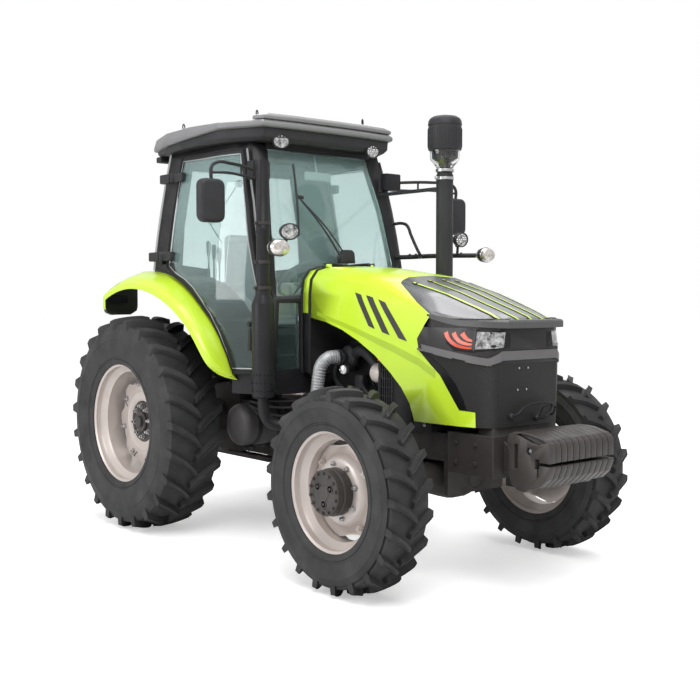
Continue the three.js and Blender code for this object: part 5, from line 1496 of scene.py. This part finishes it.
def flapRows(section, surface, out):  # the rear end bends down into a hanging flap with a rounded lower corner
    last, bend = math.radians(fenderLooks["to"]), fenderLooks["bend"]
    lip, ridge = section[6][0], section[2][0]
    rows = []
    for i in range(1, fenderLooks["bendSteps"] + fenderLooks["flapSteps"] + 1):
        turn = last + (math.pi - last) * min(1, i / fenderLooks["bendSteps"])
        drop = max(0, i - fenderLooks["bendSteps"]) / fenderLooks["flapSteps"]
        row = []
        for (x, r), top in zip(section, surface):
            centre = top - bend
            y, z = byAxle(fenderLooks["to"], centre)
            y -= (r - centre) * math.cos(turn)
            z += (r - centre) * math.sin(turn)
            z += (fenderLooks["flapEnd"] - z) * drop
            near = max(0, 1 - (z - fenderLooks["flapEnd"]) / fenderLooks["corner"])
            inset = fenderLooks["corner"] * (1 - math.sqrt(max(0, 1 - near ** 2)))
            share = (x - ridge) / (lip - ridge) if x > ridge else (x - ridge) / (ridge - section[0][0])
            row.append(at(out * (x - inset * share), y, z))
        rows.append(row)
    return rows


def makeFenders():
    for side, out in sides:
        rows = []
        for i in range(fenderLooks["steps"] + 1):
            share = i / fenderLooks["steps"]
            angle = fenderLooks["from"] + (fenderLooks["to"] - fenderLooks["from"]) * share
            inner, outer, lip = (eased(fenderLooks[key], angle) for key in ("inner", "outer", "lip"))
            y, z = byAxle(angle, inner)
            behind = min(1, max(0, (angle - fenderLooks["spreadFrom"]) / fenderLooks["spreadTurn"]))
            root = cabSide(y, z) - fenderLooks["tuck"]
            root -= fenderLooks["spread"] * behind * behind * (3 - 2 * behind)
            if angle < fenderLooks["footTo"]:
                foot = (fenderLooks["footTo"] - angle) / (fenderLooks["footTo"] - fenderLooks["from"])
                lip = root + (lip - root) * math.sqrt(max(0.02, 1 - foot ** 2))
            ridge = root + (lip - root) * fenderLooks["ridge"]
            crown = inner + (outer - inner) * fenderLooks["ridge"] + fenderLooks["crown"]
            thick = fenderLooks["thick"]
            flank = min(fenderLooks["flank"], (lip - root) * 0.4)
            section = [(root, inner), (root + (ridge - root) * 0.5, (inner + crown) / 2 + 0.002),
                       (ridge, crown),
                       (ridge + (lip - ridge) * 0.55, (crown + outer) / 2 + 0.004), (lip - 0.014, outer),
                       (lip - 0.004, outer - 0.005), (lip, outer - 0.018), (lip, outer - flank),
                       (lip - thick, outer - flank), (lip - thick, outer - 0.018), (lip - 0.018, outer - thick),
                       (ridge, crown - thick), (root, inner - thick)]
            rows.append([at(out * x, *byAxle(angle, r)) for x, r in section])
        surface = [inner, (inner + crown) / 2 + 0.002, crown, (crown + outer) / 2 + 0.004, *[outer] * 7, crown,
                   inner]
        rows += flapRows(section, surface, out)
        skin = toPiece(shellOf(rows), f"fenderSkin{side.title()}", "limePaint", "chassis", 28,
                       (f"fender_{side}",))
        skin.data.materials.append(materials["blackPlastic"])
        skin.data.materials.append(materials["flapPaintedShade"])
        axle = at(0, rearAxle["y"], rearAxle["z"])
        for face in skin.data.polygons:  # black underneath, and a dark olive on the inside of the flap as painted shade
            outward = (Vector((0, face.center.y, face.center.z)) - axle).normalized()
            face.material_index = int(face.normal.dot(outward) < -0.35)
            if face.center.y > fenderLooks["flapFrom"] and face.normal.y < -0.6:
                face.material_index = 2
        base = at(out * fenderLooks["lampAt"][0], *fenderLooks["lampAt"][1:])
        for name, finish, low, high, edge, segments in tailLamp:
            part = block(base + Vector(low), base + Vector(high), edge, segments)
            toPiece(part, f"tailLamp{name}{side.title()}", finish, "chassis", 30)


makeFenders()
print("stage: fenders")


# exhaust stack, air intake and side tank
stackLooks = {
    "x": -0.680, "y": -0.134,
    "pipe": [(0.0, 0.965), (0.054, 0.965), (0.070, 0.972), (0.072, 0.985), (0.072, 1.545), (0.068, 1.560),
             (0.052, 1.600), (0.048, 1.612), (0.046, 1.650), (0.041, 1.655), (0.041, 1.985), (0.044, 1.990),
             (0.044, 2.030), (0.041, 2.035), (0.041, 2.440), (0.036, 2.440), (0.036, 2.200), (0.0, 2.200)],
    "clamps": [(1.640, 0.047), (1.800, 0.042), (2.040, 0.042)],  # height, radius
    "holes": 18, "holeRows": (1.010, 1.060, 1.110), "holeRadius": 0.008,
}


def makeStack():
    x, y = stackLooks["x"], stackLooks["y"]
    pipe = lathe(stackLooks["pipe"], at(x, y, 0), up, 56)
    strap = prism([at(-0.700, y, 1.986), at(-0.562, 0.012, 1.986), at(-0.520, 0.012, 1.986),
                   at(-0.660, y - 0.030, 1.986)],
                  Vector((0, 0, 0.028)), 0.002, 1)
    toPiece(gather([pipe, strap]), "stackPipe", "blackPaint", "chassis", 40, ("exhaust_stack",))
    clamps = []
    for z, radius in stackLooks["clamps"]:
        clamps.append(lathe([(radius, 0), (radius + 0.004, 0.001), (radius + 0.004, 0.021), (radius, 0.022)],
                            at(x, y, z), up, 48, True))
        clamps.append(block(at(x - radius - 0.020, y - 0.008, z + 0.002), at(x - radius, y + 0.008, z + 0.020),
                            0.002))
    toPiece(gather(clamps), "stackClamps", "castDark", "chassis", 40)
    slots = [rod(at(x, y, z) + way * 0.0715, at(x, y, z) + way * 0.0725, stackLooks["holeRadius"], 10)
             for way in around(stackLooks["holes"]) for z in stackLooks["holeRows"]]
    toPiece(gather(slots), "guardHoles", "glossBlack", "chassis", 40)


pipeLooks = {
    "elbow": [(-0.680, -0.134, 0.964), (-0.680, -0.134, 0.890), (-0.640, -0.140, 0.812),
              (-0.540, -0.200, 0.790),
              (-0.452, -0.278, 0.846)],
    "path": [(-0.450, -0.285, 0.838), (-0.420, -0.322, 0.915), (-0.412, -0.335, 1.000), (-0.408, -0.345, 1.090),
             (-0.398, -0.356, 1.165), (-0.355, -0.378, 1.215), (-0.290, -0.393, 1.222)],
    "elbowRadius": 0.0358, "radius": 0.039, "wrapStep": 0.017,
    "wrap": [(0.0385, -0.005), (0.0415, -0.003), (0.0415, 0.003), (0.0385, 0.005)],
}


def makePipe():  # the wrapped pipe from the engine, then a black elbow up to the silencer
    low = hose(pipeLooks["elbow"], pipeLooks["elbowRadius"], 5)
    toPiece(low, "exhaustElbow", "blackPaint", "chassis", 60, ("exhaust_pipe",))
    path = spots(pipeLooks["path"])
    toPiece(sweep(path, pipeLooks["radius"], 5), "wrappedPipe", "wrapSilver", "chassis", 60)
    turns = []
    for a, b in zip(path, path[1:]):
        count = max(2, round((b - a).length / pipeLooks["wrapStep"]))
        turns += [lathe(pipeLooks["wrap"], a.lerp(b, i / count), b - a, 28, True) for i in range(count)]
    toPiece(gather(turns), "pipeWrap", "wrapSilver", "chassis", 60)


guardLooks = {
    "frame": [(-0.935, -0.918, 0.900, 1.210), (-0.818, -0.806, 0.900, 1.210), (-0.935, -0.806, 1.200, 1.214),
              (-0.935, -0.806, 0.890, 0.904)],  # ranges of y and z
    "firstUpright": -0.902, "uprightStep": 0.020, "firstLevel": 0.955, "levelStep": 0.052,
}


def makeEngineSide():
    turbo = [lathe([(0, -0.032), (0.046, -0.032), (0.070, -0.020), (0.078, 0.0), (0.070, 0.020), (0.046, 0.032),
                    (0.034, 0.040), (0.034, 0.062), (0, 0.062)], at(-0.215, -0.420, 1.215), (-1, 0, 0), 40),
             rod(at(-0.292, -0.393, 1.213), at(-0.136, -0.400, 1.215), 0.043, 32),
             lathe([(0.040, 0), (0.052, 0.002), (0.052, 0.016), (0.040, 0.018)], at(-0.285, -0.3935, 1.213),
                   (1, 0, 0), 32, True),
             hose([(-0.215, -0.480, 1.240), (-0.230, -0.550, 1.262), (-0.245, -0.640, 1.235),
                   (-0.235, -0.720, 1.170), (-0.200, -0.790, 1.120)], 0.034, 4),
             hose([(-0.180, -0.300, 1.215), (-0.205, -0.270, 1.130), (-0.230, -0.330, 1.040),
                   (-0.200, -0.450, 0.980)],
                   0.016, 3),
             hose([(-0.176, -0.520, 1.100), (-0.230, -0.560, 1.060), (-0.250, -0.640, 1.000),
                   (-0.176, -0.700, 0.930)],
                   0.011, 3),
             hose([(-0.176, -0.610, 1.180), (-0.225, -0.640, 1.150), (-0.235, -0.660, 1.080),
                   (-0.176, -0.660, 1.010)],
                   0.007, 3),
             block(at(-0.230, -0.560, 1.020), at(-0.170, -0.480, 1.110), 0.010, 2),
             lathe([(0, 0.120), (0.044, 0.118), (0.050, 0.100), (0.050, 0.010), (0.042, 0.0), (0, 0.0)],
                   at(-0.222, -0.560, 0.850), up, 32)]
    toPiece(gather(turbo), "turboAndHoses", "engineDark", "chassis", 40)
    cap = gather([lathe([(0, 0.020), (0.012, 0.019), (0.026, 0.014), (0.030, 0.004), (0.030, -0.010),
                         (0, -0.010)],
                         at(-0.292, -0.459, 1.141), (-1, -0.3, 0), 32),
                  *ringOf(6, 0.021, at(-0.305, -0.463, 1.141), (-1, -0.3, 0),
                          lambda p: rod(p, p + Vector((-0.006, -0.002, 0)), 0.004, 8)),
                  lathe([(0.0415, 0), (0.0445, 0.001), (0.0445, 0.011), (0.0415, 0.012)],
                        at(-0.305, -0.390, 1.212),
                        (1, -0.05, 0), 32, True)])
    toPiece(cap, "fillerCap", "brightSteel", "chassis", 40)
    stem = rod(at(-0.170, -0.430, 1.141), at(-0.285, -0.457, 1.141), 0.020, 20)
    toPiece(stem, "fillerNeck", "engineDark", "chassis", 40)
    body = at(-0.262, -0.772, 1.135)
    alternator = lathe([(0, 0.058), (0.030, 0.058), (0.050, 0.050), (0.060, 0.036), (0.062, 0.012),
                        (0.062, -0.012),
                         (0.060, -0.036), (0.050, -0.050), (0, -0.052)], body, (0, -1, 0), 40)
    toPiece(alternator, "alternatorCase", "rimSilver", "chassis", 30)
    trims = [*ringOf(12, 0.042, body + Vector((0, 0.050, 0)), (0, -1, 0),
                     lambda p: rod(p - Vector((0, 0.004, 0)), p + Vector((0, 0.006, 0)), 0.006, 8)),
             lathe([(0, 0.018), (0.030, 0.018), (0.036, 0.012), (0.030, 0.006), (0.036, 0.0), (0, 0)],
                   body + Vector((0, -0.060, 0)), (0, -1, 0), 32),
             block(body + Vector((0.030, -0.030, -0.100)), body + Vector((0.095, 0.020, -0.040)), 0.006),
             block(body + Vector((0.040, -0.030, 0.040)), body + Vector((0.095, 0.010, 0.060)), 0.004)]
    toPiece(gather(trims), "alternatorTrims", "engineDark", "chassis", 30)
    bars = [block(at(-0.318, y0, z0), at(-0.306, y1, z1), 0.002) for y0, y1, z0, z1 in guardLooks["frame"]]
    bars += [block(at(-0.316, y - 0.004, 0.900), at(-0.308, y + 0.004, 1.204), 0.001)
             for y in (guardLooks["firstUpright"] + guardLooks["uprightStep"] * i for i in range(5))]
    bars += [block(at(-0.315, -0.930, z - 0.003), at(-0.309, -0.810, z + 0.003), 0.001)
             for z in (guardLooks["firstLevel"] + guardLooks["levelStep"] * i for i in range(5))]
    bars.append(block(at(-0.314, -1.090, 0.860), at(-0.300, -0.930, 1.160), 0.003))
    toPiece(gather(bars), "sideGuard", "blackPaint", "chassis", 30)
    clips = [block(at(-0.250, -0.742, 1.205), at(-0.236, -0.722, 1.222), 0.003),
             block(at(-0.262, -0.360, 0.985), at(-0.250, -0.348, 1.005), 0.003)]
    toPiece(gather(clips), "plugClips", "orangeGlow", "chassis", 30)
    loom = []
    for k, (z, sag) in enumerate(((0.900, 0.050), (0.925, 0.030), (0.880, 0.070), (0.945, 0.015))):
        loom.append(hose([(-0.640 + 0.01 * k, 0.080, z), (-0.560, 0.010, z - sag),
                          (-0.440 + 0.01 * k, -0.080, z - sag * 1.4), (-0.300, -0.150, z - sag * 0.4),
                          (-0.200, -0.190, z + 0.010)], 0.008 - 0.001 * k, 2))
    toPiece(gather(loom), "sideHoses", "rubberSealAndPaintedShade", "chassis", 40)


intakeLooks = {
    "x": 0.470, "y": -0.575, "clamps": (2.360, 2.412),
    "drum": [(0.0, 2.780), (0.040, 2.779), (0.078, 2.772), (0.098, 2.760), (0.108, 2.744), (0.1115, 2.724),
             (0.1115, 2.716), (0.108, 2.712), (0.108, 2.702), (0.1115, 2.698), (0.1115, 2.565), (0.106, 2.553),
             (0.098, 2.551), (0.0, 2.551)],
    "bowl": [(0.050, 2.436), (0.056, 2.440), (0.060, 2.450), (0.092, 2.486), (0.098, 2.500), (0.100, 2.550),
             (0.097, 2.550), (0.095, 2.502), (0.089, 2.489), (0.056, 2.454), (0.050, 2.448)],
}


def makeIntake():
    x, y = intakeLooks["x"], intakeLooks["y"]
    post = lathe([(0.0, 1.33), (0.056, 1.33), (0.056, 2.395), (0.050, 2.400), (0.050, 2.409), (0.0, 2.409)],
                 at(x, y, 0), up, 56)
    elbow = hose([(x, y, 1.360), (x - 0.012, y, 1.300), (x - 0.070, y + 0.005, 1.252),
                  (x - 0.180, y + 0.020, 1.234), (0.1365, y + 0.020, 1.234)], 0.048, 5)
    strap = block(at(x + 0.002, y, 2.298), at(x + 0.018, 0.088, 2.322), 0.002)
    toPiece(gather([post, elbow, strap]), "intakePost", "blackPlastic", "chassis", 40, ("air_intake",))
    rings = []
    for z in intakeLooks["clamps"]:
        rings.append(lathe([(0.054, 0), (0.060, 0.001), (0.0605, 0.010), (0.0595, 0.019), (0.054, 0.020)],
                           at(x, y, z), up, 48, True))
    rings.append(block(at(x - 0.085, y - 0.010, 2.364), at(x - 0.062, y + 0.010, 2.382), 0.003))
    toPiece(gather(rings), "intakeClamps", "brightSteel", "chassis", 40)
    drum = lathe(intakeLooks["drum"], at(x, y, 0), up, 64)
    ribs = [rod(at(x, y, 2.575) + way * 0.1098, at(x, y, 2.690) + way * 0.1098, 0.0042, 6)
            for way in around(40)]
    neck = rod(at(x, y, 2.411), at(x, y, 2.555), 0.040, 32)
    toPiece(gather([drum, *ribs, neck]), "cleanerDrum", "blackPlastic", "chassis", 40, ("pre_cleaner",))
    bowl = lathe(intakeLooks["bowl"], at(x, y, 0), up, 56, True)
    toPiece(bowl, "cleanerBowl", "bowlGlass", "chassis", 40)
    vanes = []
    for way in around(8):
        turned = way.cross(up)
        vanes.append(prism([at(x, y, 2.470) + way * 0.040, at(x, y, 2.500) + way * 0.085 + turned * 0.02,
                            at(x, y, 2.548) + way * 0.085 + turned * 0.02, at(x, y, 2.548) + way * 0.040],
                           turned * 0.003))
    toPiece(gather(vanes), "cleanerVanes", "blackPlastic", "chassis", 40)


tankLooks = {"foot": -0.600, "y": 0.310, "z": 0.745, "radius": 0.140, "straps": (-0.500, -0.340)}


def makeTank():
    x0, y, z, radius = (tankLooks[key] for key in ("foot", "y", "z", "radius"))
    shell = lathe([(0, 0), (radius * 0.45, 0.002), (radius * 0.75, 0.010), (radius * 0.90, 0.022),
                   (radius * 0.97, 0.038),
                   (radius, 0.056), (radius, 0.330), (radius * 0.9, 0.352), (0, 0.369)], at(x0, y, z),
                   (1, 0, 0), 64)
    bracket = block(at(-0.250, y - 0.045, z - 0.070), at(-0.1685, y + 0.045, z + 0.040), 0.004)
    toPiece(gather([shell, bracket]), "sideTank", "charcoalPlastic", "chassis", 30, ("air_tank",))
    straps = []
    for x in tankLooks["straps"]:
        straps.append(lathe([(radius, 0), (radius + 0.003, 0), (radius + 0.003, 0.030), (radius, 0.030)],
                            at(x, y, z), (1, 0, 0), 64, True))
        straps.append(block(at(x, y - 0.060, z - radius - 0.034), at(x + 0.030, y + 0.060, z - radius - 0.002),
                            0.003))
        straps.append(rod(at(x + 0.015, y, z - radius - 0.075), at(x + 0.015, y, z - radius - 0.030), 0.005,
                          10))
        straps.append(nut(at(x + 0.015, y, z - radius - 0.070), up, 0.009, 0.008, 0.5, 0))
    toPiece(gather(straps), "tankStraps", "blackPaint", "chassis", 40)


def makeEngineTop():
    cover = [block(at(-0.096, -0.740, 1.2404), at(0.096, -0.250, 1.288), 0.018, 3),
             block(at(-0.060, -0.720, 1.286), at(0.060, -0.560, 1.300), 0.006, 2)]
    for i in range(6):
        for out in (1, -1):
            y = -0.720 + 0.090 * i
            cover.append(block(at(out * 0.104 - 0.012, y - 0.012, 1.2404), at(out * 0.104 + 0.012, y + 0.012,
                                                                              1.256), 0.003))
    toPiece(gather(cover), "valveCover", "blackPaint", "chassis", 30)
    caps = [lathe([(0, 0.026), (0.026, 0.025), (0.032, 0.018), (0.032, 0.004), (0.022, 0.0), (0, 0)],
                  at(0.040, -0.320, 1.288),
                  up, 28),
            lathe([(0, 0.022), (0.030, 0.021), (0.036, 0.014), (0.036, 0.004), (0.024, 0.0), (0, 0)],
                  at(0.080, -0.900, 1.4002),
                  up, 28)]
    toPiece(gather(caps), "engineCaps", "castBrown", "chassis", 40)
    runs = [hose([(0.165, -0.720, 1.160), (0.165, -0.280, 1.160)], 0.030, 3)]
    for i in range(4):
        y = -0.680 + 0.120 * i
        runs.append(hose([(0.165, y, 1.160), (0.150, y, 1.190), (0.120, y, 1.195)], 0.020, 2))
        runs.append(hose([(0.100, y + 0.030, 1.262), (0.150, y + 0.030, 1.285), (0.190, y + 0.020, 1.180),
                          (0.185, y, 1.020)], 0.004, 2))
    runs.append(hose([(0.040, -0.780, 1.180), (0.030, -0.770, 1.300), (0.020, -0.830, 1.345),
                      (0.020, -0.900, 1.380)], 0.024, 3))
    toPiece(gather(runs), "intakeManifold", "engineDark", "chassis", 40)
    fins = []
    for i in range(38):
        x = -0.277 + 0.015 * i
        fins.append(block(at(x - 0.002, -1.2355, 0.860), at(x + 0.002, -1.2302, 1.340), 0))
    for x0, x1, z0, z1 in ((-0.300, 0.300, 1.340, 1.400), (-0.300, 0.300, 0.822, 0.860),
                           (-0.300, -0.282, 0.860, 1.340),
                           (0.282, 0.300, 0.860, 1.340)):
        fins.append(block(at(x0, -1.240, z0), at(x1, -1.2302, z1), 0.003, 1))
    toPiece(gather(fins), "coolerFins", "blackPaint", "chassis", 30)
    bolts = []
    for out in (1, -1):
        for y in (-1.190, -1.020, -0.850):
            for z in (0.860, 1.110, 1.360):
                bolts.append(nut(at(out * 0.3002, y, z), (out, 0, 0), 0.009, 0.006, 0.5, 0))
    toPiece(gather(bolts), "coolerBolts", "brightSteel", "chassis", 30)


makeStack()
makeEngineTop()
makePipe()
makeEngineSide()
makeIntake()
makeTank()
print("stage: stack, intake and tank")

# seat: stuffed cushion and back
seatLooks = {
    "voxel": 0.006, "pressure": 4.0, "frames": 20, "cap": 0.018, "inset": 0.014, "fill": 0.85,
    "cushionChannels": (-0.085, 0.085), "backChannels": (1.56, 1.70, 1.84), "cordRadius": 0.0032,
}


def stuffed(name, low, high, edge, pinned):  # a padded form blown up a little by a cloth run
    shrink = Vector((1, 1, 1)) * seatLooks["inset"]
    bm = block(low + shrink, high - shrink, edge, 5)
    bmesh.ops.triangulate(bm, faces=[f for f in bm.faces if len(f.verts) > 4])
    obj = toPiece(bm, name, "seatFabric", "chassis", 60)
    remesh = obj.modifiers.new("fine", "REMESH")
    remesh.mode = "VOXEL"
    remesh.voxel_size = seatLooks["voxel"]
    freeze(obj)
    rest = [v.co.copy() for v in obj.data.vertices]
    held = obj.vertex_groups.new(name="held")
    held.add([i for i, co in enumerate(rest) if pinned(co)], 1.0, "REPLACE")
    cloth = obj.modifiers.new("cloth", "CLOTH")
    cloth.settings.use_pressure = True
    cloth.settings.uniform_pressure_force = seatLooks["pressure"]
    cloth.settings.effector_weights.gravity = 0
    cloth.settings.vertex_group_mass = "held"
    cloth.settings.quality = 5
    cloth.point_cache.frame_start = 1
    cloth.point_cache.frame_end = seatLooks["frames"]
    for frameNumber in range(1, seatLooks["frames"] + 1):
        scene.frame_set(frameNumber)
    freeze(obj)
    for v, start in zip(obj.data.vertices, rest):
        move = v.co - start
        if move.length > seatLooks["cap"]:
            v.co = start + move.normalized() * seatLooks["cap"]
    obj.vertex_groups.clear()
    scene.frame_set(1)
    obj.data.shade_smooth()
    finer = obj.modifiers.new("finer", "SUBSURF")
    finer.levels = finer.render_levels = 1
    return obj


def freeze(obj):  # the shape that the modifiers give becomes the mesh
    bpy.context.view_layer.update()
    mesh = bpy.data.meshes.new_from_object(obj.evaluated_get(bpy.context.evaluated_depsgraph_get()))
    obj.modifiers.clear()
    obj.data = mesh


def cordOn(surface, points, way):  # a sewn cord that lies on the padding
    way = Vector(way)
    laid = []
    for point in points:
        hit, normal, _, _ = surface.ray_cast(Vector(point) - way * 0.4, way)
        if hit is not None:
            laid.append(hit + normal * 0.0005)
    return sweep(laid, seatLooks["cordRadius"], 2)


def surfaceNow(obj):
    bm = bmesh.new()
    bm.from_mesh(obj.data)
    tree = BVHTree.FromBMesh(bm)
    bm.free()
    return tree


def makeSeat():
    low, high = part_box("seat_cushion")
    cushion = stuffed("seatCushion", low, high, 0.030, lambda co: co.z < low.z + 0.030)
    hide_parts("seat_cushion")
    top = surfaceNow(cushion)
    cords = [cordOn(top, line((x, low.y + 0.045, high.z), (x, high.y - 0.045, high.z), 24), (0, 0, -1))
             for x in seatLooks["cushionChannels"]]
    reach = 0.046
    loop = [(low.x + reach, low.y + reach), (high.x - reach, low.y + reach), (high.x - reach, high.y - reach),
            (low.x + reach, high.y - reach), (low.x + reach, low.y + reach)]
    cords.append(cordOn(top, [(x, y, high.z) for x, y in along(loop, 0.03)], (0, 0, -1)))
    toPiece(gather(cords), "cushionSeams", "interiorGrey", "chassis", 60)
    backLow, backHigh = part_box("seat_back")
    back = stuffed("seatBack", backLow, backHigh, 0.042, lambda co: co.y > backHigh.y - 0.035)
    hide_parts("seat_back")
    front = surfaceNow(back)
    cords = [cordOn(front, line((backLow.x + 0.05, backLow.y, z + datum),
                                (backHigh.x - 0.05, backLow.y, z + datum), 24),
                    (0, 1, 0)) for z in seatLooks["backChannels"]]
    reach = 0.050
    loop = [(backLow.x + reach, backLow.z + reach), (backHigh.x - reach, backLow.z + reach),
            (backHigh.x - reach, backHigh.z - reach), (backLow.x + reach, backHigh.z - reach),
            (backLow.x + reach, backLow.z + reach)]
    cords.append(cordOn(front, [(x, backLow.y, z) for x, z in along(loop, 0.03)], (0, 1, 0)))
    toPiece(gather(cords), "backSeams", "interiorGrey", "chassis", 60)
    skinNode("seat_base", "blackPlastic", 30, 0.004)


makeSeat()
print("stage: seat")


# rear hitch, axle housings and tank
rearSkins = [  # node, finish, smoothing angle, edge
    ("rear_housing", "castDark", 34, 0.004), ("fuel_tank", "blackPlastic", 30, 0.010),
    ("front_axle", "castDark", 38, 0.003), ("drawbar", "castDark", 30, 0.003),
    ("lift_arms", "castDark", 36, 0.002),
    ("lower_link_left", "castDark", 36, 0.002), ("lower_link_right", "castDark", 36, 0.002),
    ("top_link", "castDark", 36, 0.002), ("knuckle_left", "castDark", 36, 0.002),
    ("knuckle_right", "castDark", 36, 0.002), ("weight_carrier", "castDark", 36, 0.002),
    ("engine_block", "engineDark", 36, 0.002), ("radiator", "blackPaint", 36, 0.002),
    ("lift_rod_left", "castDark", 40, 0.0), ("lift_rod_right", "castDark", 40, 0.0),
    ("steering_rod", "brightSteel", 40, 0.0), ("pto_shaft", "brightSteel", 40, 0.0),
    ("dash_console", "consoleGrey", 40, 0.0),
]


def makeRear():
    for skin in rearSkins:
        skinNode(*skin)
    guard = [prism([at(-0.150, 1.331, 0.760), at(0.150, 1.331, 0.760), at(0.150, 1.420, 0.735),
                    at(-0.150, 1.420, 0.735)],
                   Vector((0, 0, 0.005)), 0.001, 1)]
    for out in (1, -1):
        guard.append(prism([at(out * 0.150, 1.331, 0.762), at(out * 0.150, 1.420, 0.738),
                            at(out * 0.150, 1.400, 0.650),
                            at(out * 0.150, 1.331, 0.620)], Vector((out * 0.005, 0, 0)), 0.001, 1))
    toPiece(gather(guard), "shaftGuard", "blackPaint", "chassis", 30)
    couplers, caps = [], []
    for i in range(4):
        x = -0.120 + 0.080 * i
        couplers.append(rod(at(x, 1.328, 0.905), at(x, 1.372, 0.905), 0.020, 24))
        couplers.append(rod(at(x, 1.372, 0.905), at(x, 1.384, 0.905), 0.024, 6))
        caps.append(lathe([(0, 0.020), (0.022, 0.018), (0.026, 0.010), (0.026, 0), (0, 0)], at(x, 1.384, 0.905),
                          (0, 1, 0), 24))
    toPiece(gather(couplers), "remoteCouplers", "brightSteel", "chassis", 40)
    toPiece(gather(caps), "couplerCaps", "orangeGlow", "chassis", 40)
    bolts = []
    for i in range(5):
        for out in (1, -1):
            bolts.append(nut(at(out * 0.172, 1.329, 0.520 + 0.095 * i), (0, 1, 0), 0.012, 0.009, 0.5, 0.003))
    for out in (1, -1):
        bolts += ringOf(8, 0.112, at(out * 0.190, 1.125, 0.715), (out, 0, 0),
                        lambda p: nut(p, (out, 0, 0), 0.012, 0.010, 0.5, 0.004))
    toPiece(gather(bolts), "housingBolts", "castDark", "chassis", 30)
    low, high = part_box("fuel_tank")
    fill = Vector((high.x - 0.090, low.y + 0.120, high.z))
    cap = [lathe([(0, 0.052), (0.030, 0.051), (0.040, 0.044), (0.044, 0.030), (0.044, 0.014), (0.034, 0.010),
                  (0.034, -0.002), (0, -0.002)], fill, (0, 0, 1), 36)]
    toPiece(gather(cap), "fuelCap", "blackPaint", "chassis", 40)
    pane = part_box("rear_window")[1].y
    wiper = gather([rod(at(0.0, pane + 0.014, 2.440), at(-0.240, pane + 0.018, 2.120), 0.006, 12),
                    rod(at(-0.150, pane + 0.018, 2.000), at(-0.330, pane + 0.018, 2.240), 0.005, 12),
                    lathe([(0, 0.024), (0.024, 0.022), (0.028, 0.012), (0.028, -0.006), (0, -0.006)],
                          at(0, pane, 2.440), (0, 1, 0), 28)])
    toPiece(wiper, "rearWiper", "blackPlastic", "rear_window", 40)


makeRear()
print("stage: rear and underside")
